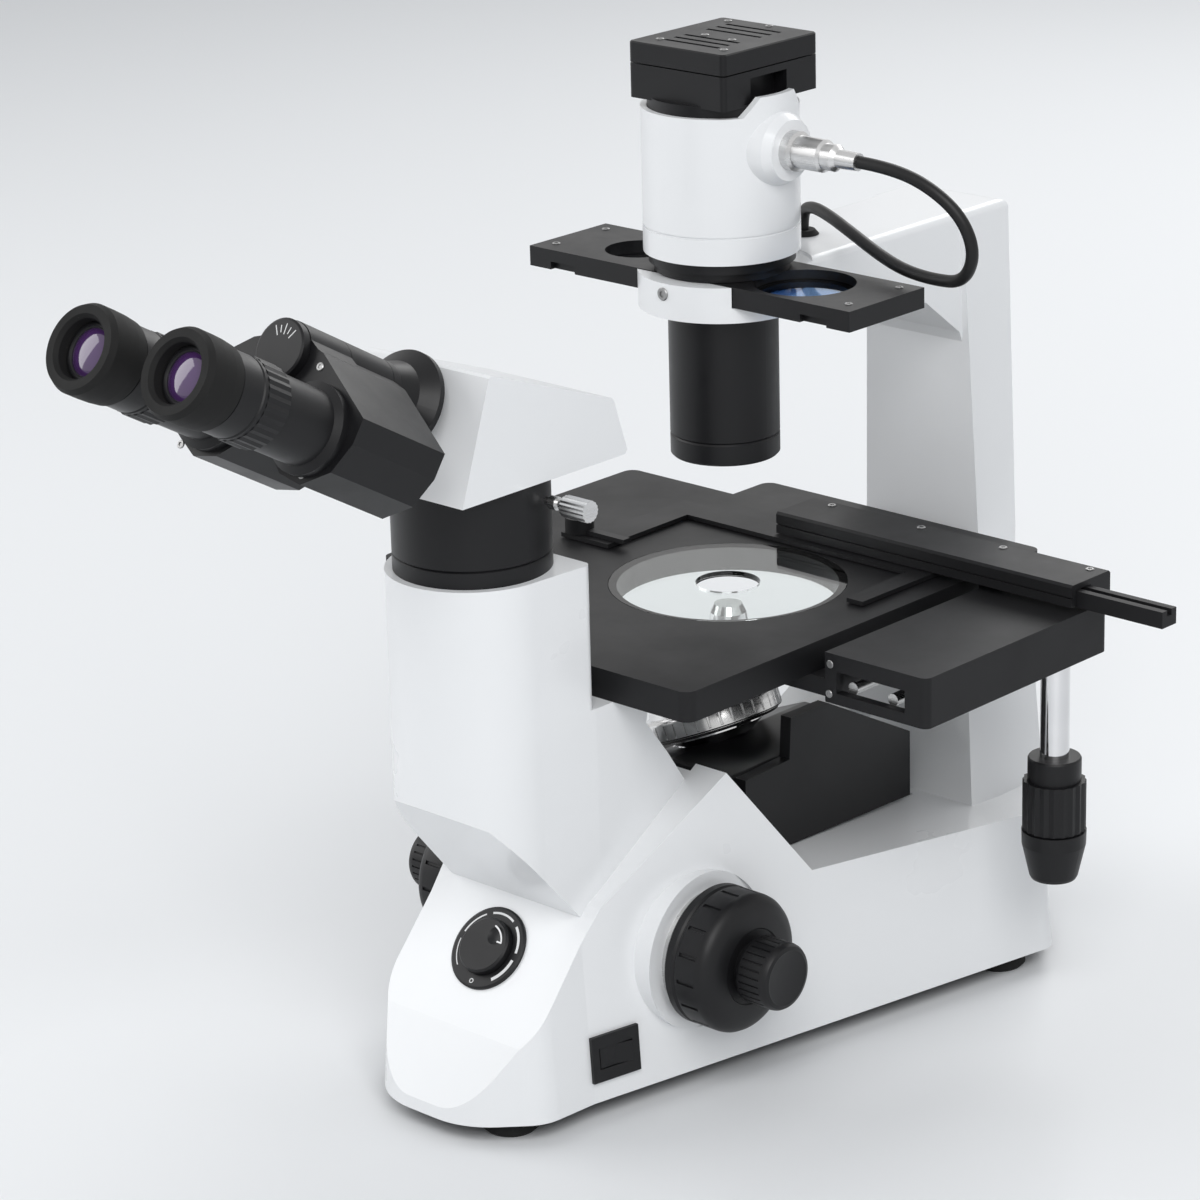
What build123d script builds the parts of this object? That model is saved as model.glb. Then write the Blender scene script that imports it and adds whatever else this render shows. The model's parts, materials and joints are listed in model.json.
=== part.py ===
"""Inverted microscope for cell culture work, in millimetres.

X is the user's right, Y points to the back and Z up. The origin lies on the table, under the optical axis
of lamp, condenser and objective.
"""
import os
from math import atan2, cos, degrees, hypot, pi, radians, sin, tan

from build123d import *

os.makedirs("parts", exist_ok=True)

# Fits
RUNNING = 0.05              # radial clearance of a shaft in its bore
SLIDE_GAP = 0.3             # clearance between sliding flat faces

# Stand
STAND_FLOOR = 10.0          # underside of the casting above the table
PLATE_THICK = 2.0           # bottom cover plate
NOSE_FRONT = -224.0
NOSE_HALF = 54.0
WEDGE_FRONT = -165.0        # where the straight side walls start
WEDGE_REAR = 120.0
WEDGE_FRONT_HALF = 56.0
WEDGE_REAR_HALF = 112.0
STAND_BACK = 184.0
STAND_BACK_HALF = 50.0
WALL_DRAFT = 4.5            # degrees
DECK_LOW = (-202.0, 48.0)   # crease between nose and sloping deck, as (y, z)
DECK_HIGH = (-152.0, 105.0)
CHEEK_TIP = (-74.0, 152.5)
CHEEK_VALLEY = (-28.0, 91.0)
REAR_RIDGE = 84.0
COLUMN_Y = -177.0
COLUMN_R = 41.0
COLUMN_HALF = 43.5
COLUMN_TOP = 272.0
COLUMN_BACK = -143.0
COLUMN_LOW_FRONT = 164.0    # front lip of the overhang
COLUMN_FOOT_BACK = -82.0
WELL_HALF = 43.0            # half width of the open well for the focusing carriage
WELL_FRONT = -78.0
WELL_BACK = 92.0
WELL_FLOOR = 58.0
FOOT_R = 14.0
FRONT_FEET = (27.5, -192.7)
REAR_FEET = (89.0, 104.0)
PIVOT_R = 1.0               # pivot pin of the rocker switch

# Rear pedestal and illumination arm
PEDESTAL_TOP = 186.0
PILLAR_FRONT = 153.0
PILLAR_BACK = 184.0
PILLAR_HALF = 37.0
PILLAR_TOP_HALF = 31.0
ARM_TOP = 378.0
ARM_BOTTOM = 337.0
ARM_HALF = 29.0
RING_R = 41.0
RING_LOW = 358.8
RING_HIGH = 376.2

# Stage
STAGE_TOP = 216.0
STAGE_THICK = 15.0
STAGE_HALF = 90.7
STAGE_FRONT = -131.6
STAGE_BACK = 136.0
INSERT_R = 59.0
INSERT_THICK = 3.0
INSERT_HOLE_R = 16.0
INSERT_LEDGE = 4.0
AUX_LEFT = -163.0
AUX_FRONT = -80.0
AUX_BACK = 108.0

# Mechanical stage
GUIDE_LEFT = 103.0
GUIDE_RIGHT = 164.0
GUIDE_FRONT = -48.5
GUIDE_BACK = 92.0
GUIDE_LOW = 191.0
GUIDE_WALL = 5.0
ROD_R = 3.0
CROSS_LEFT = -24.0
CROSS_RIGHT = 162.0
CROSS_FRONT = 65.0
CROSS_BACK = 96.0
CROSS_LOW = 219.4
CROSS_TOP = 230.6
RAIL_FRONT = 68.7
RAIL_BACK = 79.9
RAIL_TOP = 227.2
RAIL_LEFT = 8.0
RAIL_RIGHT = 212.4
HOLDER_LEFT = -98.0
HOLDER_RIGHT = 77.0
HOLDER_BACK = 78.0
HOLDER_BAR = 17.5
HOLDER_THICK = 2.3
HOLDER_FRONT = 5.0
CLAMP_R = 7.5
DRIVE_X = 151.4
DRIVE_Y = 67.0
DRIVE_TUBE_R = 7.2
DRIVE_SHAFT_R = 4.0

# Nosepiece and focus
TURRET_TILT = 22.0
SEAT_CIRCLE_R = 20.0
SEAT_Z = 166.5              # thread seat of the objective in use
TURRET_R = 34.0
TURRET_DROP = 17.5          # from the seat circle's plane down to the middle of the knurled rim
OBJECTIVE_R = 11.8
THREAD_R = 10.1
FOCUS_Y = -97.0
FOCUS_Z = 69.7
FOCUS_PAD = 66.5            # flat pad behind the focus knobs, as a half width
COARSE_R = 34.0
COARSE_SHAFT_R = 8.95
FINE_SHAFT_R = 2.5
COLLAR_THICK = 4.0
KNOB_FACE = 98.0            # outer face of the coarse knobs
FINE_R = 16.6
FINE_END = 119.2
COVER_HALF = 47.0
CARRIAGE_HALF = 40.0
RACK_PITCH_R = 6.0          # 37.7 mm of travel for each turn of the coarse knob
RACK_HALF = 7.0
GUIDE_RAIL_HALF = 14.0
GUIDE_RAIL_FRONT = 50.0
CARRIAGE_TOP = 121.0
CARRIAGE_LOW = 80.0
CARRIAGE_BACK = 60.0

# Lamp house
CAP_TOP = 488.0
CAP_SPLIT = 478.0
CAP_LOW = 461.0
CAP_HALF = 30.0
CAP_FRONT = -31.0
CAP_BACK = 37.0
LAMP_R = 38.0
LAMP_TOP = 456.6
LAMP_LOW = 386.0
LAMP_BASE_R = 35.5
LAMP_WALL = 3.0
SOCKET_X = 38.0
CONNECTOR_Z = 439.5
CONNECTOR_END = 85.4
TUBE_R = 26.8
TUBE_LOW = 283.4
SLIDER_HALF_X = 102.0
SLIDER_HALF_Y = 27.6
SLIDER_TOP = 376.5
SLIDER_THICK = 10.0
FILTER_X = 52.0
FILTER_R = 23.0
ANNULUS_X = -54.0

# Observation head
COLLAR_R = 37.2
HEAD_HALF = 39.0
HEAD_LOW = 317.0
HINGE_SPOT = (-286.8, 398.6)  # centre of the scale disc, as (y, z)
EYE_TILT = 30.0
HINGE_R = 14.3
HINGE_PIN_R = 8.0
ARM_REACH = 43.05           # hinge axis to eyepiece axis
REST_SWING = 44.83          # degrees of each prism box from straight down
EYE_FACE = 86.0             # eyecup rim in front of the scale disc, along the tubes
EYECUP_R = 20.4
TUBE_OUTER_R = 17.5
TUBE_BORE_R = 15.1
BOX_DEPTH = 56.0

# Lamp lead: chosen points of its route
LEAD_R = 3.0
LEAD_ROUTE = [
    (CONNECTOR_END, 0.0, CONNECTOR_Z), (103.0, 0.0, CONNECTOR_Z), (124.0, 2.0, 434.0), (141.0, 6.0, 421.0),
    (146.0, 10.0, 403.0), (136.0, 14.0, 387.0), (114.0, 19.0, 384.0), (92.0, 24.0, 384.2),
    (70.0, 32.0, 387.0), (46.0, 41.0, 392.0), (24.0, 51.0, 395.0), (6.0, 60.0, 395.0), (-5.5, 66.5, 390.0),
    (-5.5, 66.5, 380.5),
]


def block(x0, x1, y0, y1, z0, z1):
    """A rectangular block between two corners."""
    return Pos((x0 + x1) / 2, (y0 + y1) / 2, (z0 + z1) / 2) * Box(x1 - x0, y1 - y0, z1 - z0)


def rod(radius, length, at=(0, 0, 0), axis=(0, 0, 1)):
    """A cylinder that starts at a point and runs along an axis."""
    return Plane(origin=at, z_dir=axis) * Cylinder(radius, length, align=(Align.CENTER, Align.CENTER, Align.MIN))


def turned(profile, at=(0, 0, 0), axis=(0, 0, 1)):
    """A turned piece: (radius, height) points spun about an axis."""
    face = Plane.XZ * make_face(Polyline(*profile, close=True))
    return Plane(origin=at, z_dir=axis) * revolve(face, Axis.Z)


def ring(outer, inner, length, at=(0, 0, 0), axis=(0, 0, 1)):
    """A plain ring."""
    return turned([(inner, 0), (outer, 0), (outer, length), (inner, length)], at, axis)


def side_slab(points, x0, x1):
    """An outline in the YZ plane, drawn out along X."""
    return extrude(Plane.YZ.offset(x0) * make_face(Polyline(*points, close=True)), x1 - x0)


def ribbed(radius, depth, count, length, at, axis):
    """A knob body with flutes cut along it."""
    steps = 2 * count
    points = []
    for step in range(steps):
        angle = 2 * pi * step / steps
        reach = radius - depth * (step % 2)
        points.append((reach * cos(angle), reach * sin(angle)))
    body = extrude(make_face(Polyline(*points, close=True)), length)
    return Plane(origin=at, z_dir=axis) * body


def mirrored(part):
    """The same piece on the user's left."""
    return mirror(part, Plane.YZ)


def group(*solids):
    """Separate solids that share one node."""
    found = []
    for piece in solids:
        found.extend(piece.solids())
    return Compound(children=found)


def upright_edges(part, spots, reach=6.0):
    """Edges along Z that pass near the given (x, y) spots."""
    found = []
    for edge in part.edges().filter_by(Axis.Z):
        middle = edge.center()
        if any(hypot(middle.X - x, middle.Y - y) < reach for x, y in spots):
            found.append(edge)
    return found


def wedge_plan():
    """Plan outline of the stand at its foot."""
    half = [
        (26.0, NOSE_FRONT), (NOSE_HALF, -196.0), (WEDGE_FRONT_HALF, WEDGE_FRONT),
        (WEDGE_REAR_HALF, WEDGE_REAR), (STAND_BACK_HALF, STAND_BACK),
    ]
    points = half + [(-x, y) for x, y in reversed(half)]
    plan = make_face(Polyline(*points, close=True))
    radii = {NOSE_FRONT: 40.0, -196.0: 22.0, WEDGE_REAR: 10.0, STAND_BACK: 12.0}
    for y, radius in radii.items():
        corners = [v for v in plan.vertices() if abs(v.Y - y) < 0.01]
        plan = fillet(corners, radius)
    return plan


def stand_body():
    """The white casting: nose and deck, side walls, front column and rear pedestal."""
    shell = Pos(0, 0, STAND_FLOOR) * extrude(wedge_plan(), 160, taper=WALL_DRAFT)
    outline = [
        (NOSE_FRONT - 4, STAND_FLOOR), (NOSE_FRONT - 1, STAND_FLOOR + 4), DECK_LOW, DECK_HIGH, CHEEK_TIP,
        CHEEK_VALLEY, (WEDGE_REAR, REAR_RIDGE), (STAND_BACK + 2, REAR_RIDGE), (STAND_BACK + 2, STAND_FLOOR),
    ]
    base = shell & side_slab(outline, -130, 130)
    column_plan = make_face(Polyline(
        (COLUMN_R, COLUMN_Y), (COLUMN_HALF, COLUMN_BACK), (COLUMN_HALF, COLUMN_FOOT_BACK),
        (-COLUMN_HALF, COLUMN_FOOT_BACK), (-COLUMN_HALF, COLUMN_BACK), (-COLUMN_R, COLUMN_Y), close=True))
    column_plan += Pos(0, COLUMN_Y) * Circle(COLUMN_R)
    front = COLUMN_Y - COLUMN_R
    profile = [
        (front - 1, COLUMN_TOP), (COLUMN_BACK, COLUMN_TOP), (COLUMN_BACK, STAGE_TOP - STAGE_THICK),
        (-105.0, STAGE_TOP - STAGE_THICK), (-109.0, 184.0), (-94.0, 164.0), (COLUMN_FOOT_BACK, 146.0),
        (COLUMN_FOOT_BACK, 90.0), (-150.0, 92.0), (-204.0, COLUMN_LOW_FRONT - 9), (front - 1, COLUMN_LOW_FRONT),
    ]
    column = extrude(column_plan, COLUMN_TOP + 10) & side_slab(profile, -60, 60)
    column = fillet(upright_edges(column, [(COLUMN_HALF, COLUMN_BACK), (-COLUMN_HALF, COLUMN_BACK)]), 4.0)
    pedestal = loft([
        Pos(0, (96 + STAND_BACK) / 2, REAR_RIDGE - 2) * Rectangle(156, STAND_BACK - 96),
        Pos(0, (126 + PILLAR_BACK) / 2, 128) * Rectangle(104, PILLAR_BACK - 126),
        Pos(0, (PILLAR_FRONT + PILLAR_BACK) / 2, PEDESTAL_TOP) * Rectangle(
            2 * PILLAR_HALF, PILLAR_BACK - PILLAR_FRONT),
    ], ruled=True)
    pedestal = pedestal & (Pos(0, 0, STAND_FLOOR) * extrude(wedge_plan(), 220))
    body = base + column + pedestal
    body -= block(-WELL_HALF, WELL_HALF, WELL_FRONT, WELL_BACK, WELL_FLOOR, 240)
    body += group(*[rod(COARSE_R + 5, 20, (s * (FOCUS_PAD - 20), FOCUS_Y, FOCUS_Z), (s, 0, 0)) for s in (1, -1)])
    for side in (1, -1):
        body -= rod(COARSE_R + 5, 40, (side * FOCUS_PAD, FOCUS_Y, FOCUS_Z), (side, 0, 0))
    # slot for the rack, and the window of the well towards the covers
    body -= block(-RACK_HALF - 4, RACK_HALF + 4, FOCUS_Y - 12, WELL_FRONT + 25, WELL_FLOOR - 8, 135)
    cover_bed = side_slab([
        (CHEEK_TIP[0] - 4, 200.0), CHEEK_TIP, CHEEK_VALLEY, (WELL_BACK, REAR_RIDGE + 4), (WELL_BACK, 200.0),
    ], -COVER_HALF - 0.2, COVER_HALF + 0.2)
    body -= cover_bed
    body += carriage_guide()
    # bores: focus shaft, head socket, brightness knob, switch and inlet seats
    body -= rod(COARSE_SHAFT_R + RUNNING, 200, (-100, FOCUS_Y, FOCUS_Z), (1, 0, 0))
    body -= rod(24.0, 40, (0, COLUMN_Y, COLUMN_TOP - 16), (0, 0, 1))
    body -= dial_frame() * rod(9.0, 40, (0, 0, -20))
    body -= switch_place() * Box(13.4, 22.4, 30)
    body -= block(-14, 14, STAND_BACK - 22, STAND_BACK + 4, 26, 46)
    return body


def dial_frame():
    """Plane of the sloping deck at the brightness dial."""
    slope = atan2(DECK_HIGH[1] - DECK_LOW[1], DECK_HIGH[0] - DECK_LOW[0])
    along = 0.53
    y = DECK_LOW[0] + along * (DECK_HIGH[0] - DECK_LOW[0])
    z = DECK_LOW[1] + along * (DECK_HIGH[1] - DECK_LOW[1])
    return Plane(origin=(0, y, z), x_dir=(1, 0, 0), z_dir=(0, -sin(slope), cos(slope)))


def switch_place():
    """Plane of the right-hand wall at the rocker switch."""
    y, z = -151.5, 32.0
    lean = radians(WALL_DRAFT)
    toe = atan2(WEDGE_REAR_HALF - WEDGE_FRONT_HALF, WEDGE_REAR - WEDGE_FRONT)
    x = WEDGE_FRONT_HALF + (y - WEDGE_FRONT) * tan(toe) - (z - STAND_FLOOR) * tan(lean)
    normal = Vector(cos(toe) * cos(lean), -sin(toe) * cos(lean), sin(lean))
    return Plane(origin=(x, y, z), x_dir=(0, 0, 1), z_dir=normal)


def base_plate():
    """Sheet cover screwed under the stand."""
    return Pos(0, 0, STAND_FLOOR - PLATE_THICK) * extrude(offset(wedge_plan(), -4, kind=Kind.INTERSECTION), PLATE_THICK)


def rubber_feet():
    """Four turned rubber feet."""
    height = STAND_FLOOR - PLATE_THICK
    profile = [(0, 0), (FOOT_R - 2, 0), (FOOT_R, 2), (FOOT_R - 1, height), (0, height)]
    spots = [(s * x, y) for x, y in (FRONT_FEET, REAR_FEET) for s in (1, -1)]
    return group(*[turned(profile, (x, y, 0)) for x, y in spots])


def illumination_arm():
    """Rear pillar with the overhanging beam and the ring that holds slider, lamp house and condenser."""
    middle = (PILLAR_FRONT + PILLAR_BACK) / 2
    depth = PILLAR_BACK - PILLAR_FRONT
    pillar = loft([
        Pos(0, middle, PEDESTAL_TOP + 20) * Rectangle(2 * PILLAR_HALF, depth),
        Pos(0, middle - 3, ARM_TOP) * Rectangle(2 * PILLAR_TOP_HALF, depth + 6),
    ])
    pillar += block(-PILLAR_HALF, PILLAR_HALF, PILLAR_FRONT, PILLAR_BACK, PEDESTAL_TOP, PEDESTAL_TOP + 20)
    beam = side_slab([
        (10.0, ARM_TOP), (10.0, RING_LOW), (60.0, ARM_BOTTOM + 8), (120.0, ARM_BOTTOM), (147.0, 316.0),
        (PILLAR_FRONT + 4, 292.0), (PILLAR_BACK - 8, 292.0), (PILLAR_BACK - 8, ARM_TOP),
    ], -ARM_HALF, ARM_HALF)
    arm = pillar + beam
    top_edges = [e for e in arm.edges() if e.center().Z > ARM_TOP - 1 and e.center().Y > 20]
    arm = fillet(top_edges, 4.0)
    arm += rod(RING_R, RING_HIGH - RING_LOW, (0, 0, RING_LOW))
    arm -= rod(RING_R + 3, 40, (0, 0, RING_HIGH))
    slot_half = SLIDER_HALF_Y + SLIDE_GAP
    arm -= block(-120, 120, -slot_half, slot_half, SLIDER_TOP - SLIDER_THICK - SLIDE_GAP, ARM_TOP + 10)
    arm -= rod(TUBE_R - 3 + RUNNING, 60, (0, 0, RING_LOW - 20))
    arm -= rod(TUBE_R + 1, 60, (0, 0, RING_LOW - 60))
    arm -= rod(LEAD_R + 3.5, 14, (LEAD_ROUTE[-1][0], LEAD_ROUTE[-1][1], ARM_TOP - 12))
    return arm


def lead_grommet():
    """Rubber grommet where the lamp lead goes down into the arm."""
    x, y, _ = LEAD_ROUTE[-1]
    bottom = ARM_TOP - 12
    top = LEAD_ROUTE[-1][2] - bottom
    profile = [(0, 0), (LEAD_R + 3.4, 0), (LEAD_R + 3.4, 12.2), (LEAD_R + 5, 12.2), (LEAD_R + 3, top), (0, top)]
    return turned(profile, (x, y, bottom))


def stage_plate():
    """Flat stage with a stepped hole for the round insert."""
    plate = block(-STAGE_HALF, STAGE_HALF, STAGE_FRONT, STAGE_BACK, STAGE_TOP - STAGE_THICK, STAGE_TOP)
    corners = [(s * STAGE_HALF, y) for s in (1, -1) for y in (STAGE_FRONT, STAGE_BACK)]
    plate = fillet(upright_edges(plate, corners), 6.0)
    plate -= rod(INSERT_R + SLIDE_GAP, 10, (0, 0, STAGE_TOP - INSERT_THICK))
    plate -= rod(INSERT_R - INSERT_LEDGE, 30, (0, 0, STAGE_TOP - STAGE_THICK - 5))
    return plate


def glass_insert():
    """Round glass with the objective's window."""
    return ring(INSERT_R, INSERT_HOLE_R, INSERT_THICK, (0, 0, STAGE_TOP - INSERT_THICK))


def aux_stage():
    """Extension plate on the user's left."""
    low = STAGE_TOP - STAGE_THICK + 2
    plate = block(AUX_LEFT, -STAGE_HALF, AUX_FRONT, AUX_BACK, low, STAGE_TOP)
    return fillet(upright_edges(plate, [(AUX_LEFT, AUX_FRONT), (AUX_LEFT, AUX_BACK)]), 6.0)


def stage_brackets():
    """Flat bars under the stage that carry the guide housing, and the posts behind that carry the stage."""
    low = GUIDE_LOW + 1
    high = STAGE_TOP - STAGE_THICK
    bars = [block(60, GUIDE_LEFT, y - 11, y + 11, low, high) for y in (-34, 76)]
    post = block(-PILLAR_HALF, PILLAR_HALF, 126, PILLAR_FRONT, PEDESTAL_TOP, high)
    return group(*bars, post)


def guide_housing():
    """Housing on the right, open below, in which the stage's Y carriage runs."""
    top = STAGE_TOP
    body = block(GUIDE_LEFT, GUIDE_RIGHT, GUIDE_FRONT, GUIDE_BACK, GUIDE_LOW, top)
    corners = [(GUIDE_RIGHT, GUIDE_FRONT), (GUIDE_RIGHT, GUIDE_BACK)]
    body = fillet(upright_edges(body, corners), 4.0)
    inner = (GUIDE_LEFT + GUIDE_WALL, GUIDE_RIGHT - GUIDE_WALL)
    body -= block(*inner, GUIDE_FRONT + GUIDE_WALL, GUIDE_BACK - GUIDE_WALL, GUIDE_LOW - 1, top - GUIDE_WALL)
    body -= block(GUIDE_LEFT - 1, inner[0] + 1, GUIDE_FRONT + GUIDE_WALL, GUIDE_BACK - GUIDE_WALL, 206,
                  top - GUIDE_WALL)
    body -= block(GUIDE_LEFT + 7, GUIDE_LEFT + 48, GUIDE_FRONT - 1, GUIDE_FRONT + GUIDE_WALL + 1, 196.5, 207.5)
    return body


def rod_spots():
    """Places of the two guide rods, as (x, z)."""
    return [(116.0, 199.0), (140.0, 199.0)]


def guide_rods():
    """Two ground rods along Y inside the guide housing."""
    start = GUIDE_FRONT + GUIDE_WALL
    length = GUIDE_BACK - GUIDE_FRONT - 2 * GUIDE_WALL
    return group(*[rod(ROD_R, length, (x, start, z), (0, 1, 0)) for x, z in rod_spots()])


def y_carriage():
    """Carriage on the rods, with the arm that reaches up to the cross guide and the boss of the drive tube."""
    inner_left = GUIDE_LEFT + GUIDE_WALL + 1
    inner_right = GUIDE_RIGHT - GUIDE_WALL - SLIDE_GAP
    body = block(inner_left, inner_right, DRIVE_Y - 16, DRIVE_Y + 9.5, 193, 209.5)
    for x, z in rod_spots():
        body -= rod(ROD_R + RUNNING, 60, (x, DRIVE_Y - 30, z), (0, 1, 0))
    arm_left, arm_right = GUIDE_LEFT - 9.5, GUIDE_LEFT - 1.5
    body += block(arm_left, inner_left + 2, DRIVE_Y - 12, DRIVE_Y + 8, 206.6, 209.5)
    body += block(arm_left, arm_right, DRIVE_Y - 12, CROSS_BACK - 5, 206.6, 209.5)
    body += block(arm_left, arm_right, RAIL_BACK + 1, CROSS_BACK - 5, 206.6, CROSS_LOW)
    body -= rod(DRIVE_TUBE_R + RUNNING, 30, (DRIVE_X, DRIVE_Y, 190), (0, 0, 1))
    return body


def cross_guide():
    """Long cover with a channel in which the cross rail slides."""
    body = block(CROSS_LEFT, CROSS_RIGHT, CROSS_FRONT, CROSS_BACK, CROSS_LOW, CROSS_TOP)
    edges = [e for e in body.edges().filter_by(Axis.X) if e.center().Z > CROSS_TOP - 1]
    body = chamfer(edges, 1.2)
    body -= block(CROSS_LEFT - 5, CROSS_RIGHT + 5, RAIL_FRONT - SLIDE_GAP, RAIL_BACK + SLIDE_GAP,
                  CROSS_LOW - 5, RAIL_TOP + SLIDE_GAP)
    body -= block(CROSS_LEFT - 5, CROSS_RIGHT + 5, CROSS_FRONT - 1, CROSS_FRONT + 1, CROSS_LOW + 4.4, CROSS_LOW + 5.2)
    return body


def cross_rail():
    """Rail that carries the specimen holder along X."""
    low = STAGE_TOP + 0.6 + HOLDER_THICK
    body = block(RAIL_LEFT, RAIL_RIGHT, RAIL_FRONT, RAIL_BACK, low, RAIL_TOP)
    body -= block(140, RAIL_RIGHT + 1, RAIL_FRONT + 3.8, RAIL_BACK - 3.8, RAIL_TOP - 3, RAIL_TOP + 1)
    return body


def specimen_holder():
    """U-shaped frame that pushes a dish or plate over the stage."""
    low = STAGE_TOP + 0.6
    points = [
        (HOLDER_LEFT, HOLDER_BACK), (HOLDER_RIGHT, HOLDER_BACK), (HOLDER_RIGHT, HOLDER_FRONT + 6),
        (HOLDER_RIGHT - 10, HOLDER_FRONT + 6), (HOLDER_RIGHT - 12.5, HOLDER_BACK - HOLDER_BAR),
        (HOLDER_LEFT + HOLDER_BAR, HOLDER_BACK - HOLDER_BAR), (HOLDER_LEFT + HOLDER_BAR + 1, HOLDER_FRONT - 6),
        (HOLDER_LEFT - 14, HOLDER_FRONT - 6), (HOLDER_LEFT - 14, HOLDER_FRONT + 6), (HOLDER_LEFT, HOLDER_FRONT + 12),
    ]
    frame = extrude(Plane.XY.offset(low) * make_face(Polyline(*points, close=True)), HOLDER_THICK)
    x, y = clamp_spot()
    return frame - rod(1.6, 10, (x, y, low - 2))


def clamp_spot():
    """Centre of the holder's clamp."""
    return HOLDER_LEFT - 7.0, HOLDER_FRONT + 0.5


def holder_clamp():
    """Sprung clamp: a round boss on a pin, with a finger that presses on the dish."""
    x, y = clamp_spot()
    low = STAGE_TOP + 0.6
    boss = rod(1.6 - RUNNING, HOLDER_THICK + 1, (x, y, low))
    boss += rod(CLAMP_R, 8, (x, y, low + HOLDER_THICK + SLIDE_GAP))
    finger = block(x, HOLDER_LEFT + HOLDER_BAR + 8, y - 2.5, y + 2.5, low + HOLDER_THICK + SLIDE_GAP,
                   low + HOLDER_THICK + SLIDE_GAP + 2.4)
    return boss + finger


def drive_tube():
    """Chromed tube that turns in the Y carriage and carries the upper knob."""
    return ring(DRIVE_TUBE_R, DRIVE_SHAFT_R + RUNNING, 209 - 133, (DRIVE_X, DRIVE_Y, 133))


def upper_drive_knob():
    """Upper knob, for Y."""
    knob = turned([(DRIVE_TUBE_R, 128), (13.2, 128), (13.2, 139.6), (12.6, 140.6), (DRIVE_TUBE_R, 140.6)],
                  (DRIVE_X, DRIVE_Y, 0))
    knob += ribbed(15.6, 0.8, 20, 25.5, (DRIVE_X, DRIVE_Y, 103), (0, 0, 1))
    knob -= rod(DRIVE_SHAFT_R + RUNNING, 60, (DRIVE_X, DRIVE_Y, 90))
    return knob - rod(DRIVE_TUBE_R, 60, (DRIVE_X, DRIVE_Y, 133))


def lower_drive_knob():
    """Lower, tapered knob, for X, with its long shaft."""
    profile = [(0, 77), (11.2, 77), (12, 78.5), (15.8, 95), (16, 102.3), (DRIVE_SHAFT_R, 102.3),
               (DRIVE_SHAFT_R, 209), (0, 209)]
    return turned(profile, (DRIVE_X, DRIVE_Y, 0))


def turret_plane():
    """Plane of the objective seats: its origin is the turret's centre and Z the turret's axis."""
    tilt = radians(TURRET_TILT)
    centre = Vector(-SEAT_CIRCLE_R * cos(tilt), 0, SEAT_Z - SEAT_CIRCLE_R * sin(tilt))
    return Plane(origin=centre, x_dir=(cos(tilt), 0, sin(tilt)), z_dir=(-sin(tilt), 0, cos(tilt)))


def seat_plane(index):
    """Plane of one objective seat; index 0 stands on the optical axis."""
    lean = radians(TURRET_TILT)
    spin = turret_plane() * Rot(0, 0, 90.0 * index)
    return spin * Pos(SEAT_CIRCLE_R, 0, 0) * Rot(0, degrees(lean), 0)


def nosepiece_turret():
    """Revolving turret with its knurled rim and four threaded seats."""
    low = -TURRET_DROP - 6
    profile = [
        (0, low + 1), (26, low + 1), (26, low), (TURRET_R - 1.5, low), (TURRET_R, low + 1.5), (TURRET_R, low + 10.5),
        (TURRET_R - 1.5, low + 12), (TURRET_R - 3, low + 12.5), (TURRET_R - 4.5, -6), (20, -1.0), (0, -1.0),
    ]
    body = turret_plane() * turned(profile)
    rim = turret_plane() * (ribbed(TURRET_R + 0.8, 0.8, 24, 6, (0, 0, low + 3), (0, 0, 1)) - Cylinder(TURRET_R - 2, 40))
    body += rim
    for index in range(4):
        boss = turned([(0, -12), (OBJECTIVE_R + 1, -12), (OBJECTIVE_R + 1, -0.0), (0, 0)])
        body += seat_plane(index) * boss
    for index in range(4):
        body -= seat_plane(index) * rod(THREAD_R, 9, (0, 0, -7))
    return body


def objective(index, length, nose_r, shoulder):
    """An objective: threaded neck, barrel, knurled band and tapered nose."""
    neck = THREAD_R - RUNNING
    profile = [
        (0, -5), (neck, -5), (neck, 0), (OBJECTIVE_R, 0), (OBJECTIVE_R, shoulder - 1), (OBJECTIVE_R - 0.8, shoulder),
        (OBJECTIVE_R - 0.8, shoulder + 4), (nose_r + 2, length - 4), (nose_r, length), (0, length),
    ]
    return seat_plane(index) * turned(profile)


def nosepiece_dome():
    """Fixed polished dome under the turret, bolted on the focusing carriage."""
    plane = turret_plane()
    low = -TURRET_DROP - 6
    tilt_top = plane * turned([(0, low - 7), (16, low - 7), (25, low - 1.5), (25, low + 0.7), (0, low + 0.7)])
    foot = turned([(0, 0), (26, 0), (26, 3), (22, 4.5), (20, 9), (0, 9)], (-6, 0, CARRIAGE_TOP))
    return foot + tilt_top


def focusing_carriage():
    """Black block that lifts the nosepiece, with the rack in front and its light channel in the middle."""
    body = block(-CARRIAGE_HALF, CARRIAGE_HALF, -62, CARRIAGE_BACK, CARRIAGE_LOW, CARRIAGE_TOP)
    body = chamfer([e for e in body.edges().filter_by(Axis.X) if e.center().Z > CARRIAGE_TOP - 1], 4.0)
    body -= rod(15, 80, (0, 0, CARRIAGE_LOW - 20))
    body -= block(-GUIDE_RAIL_HALF - SLIDE_GAP, GUIDE_RAIL_HALF + SLIDE_GAP, GUIDE_RAIL_FRONT - SLIDE_GAP,
                  CARRIAGE_BACK + 1, CARRIAGE_LOW - 1, CARRIAGE_TOP + 1)
    rack_face = FOCUS_Y + RACK_PITCH_R + SLIDE_GAP
    body += block(-RACK_HALF, RACK_HALF, rack_face, -60, WELL_FLOOR - 2, CARRIAGE_TOP - 6)
    return body


def carriage_guide():
    """Guide rail in the back of the stand's well."""
    return block(-GUIDE_RAIL_HALF, GUIDE_RAIL_HALF, GUIDE_RAIL_FRONT, WELL_BACK + 1, WELL_FLOOR - 1, CARRIAGE_TOP + 8)


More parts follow.
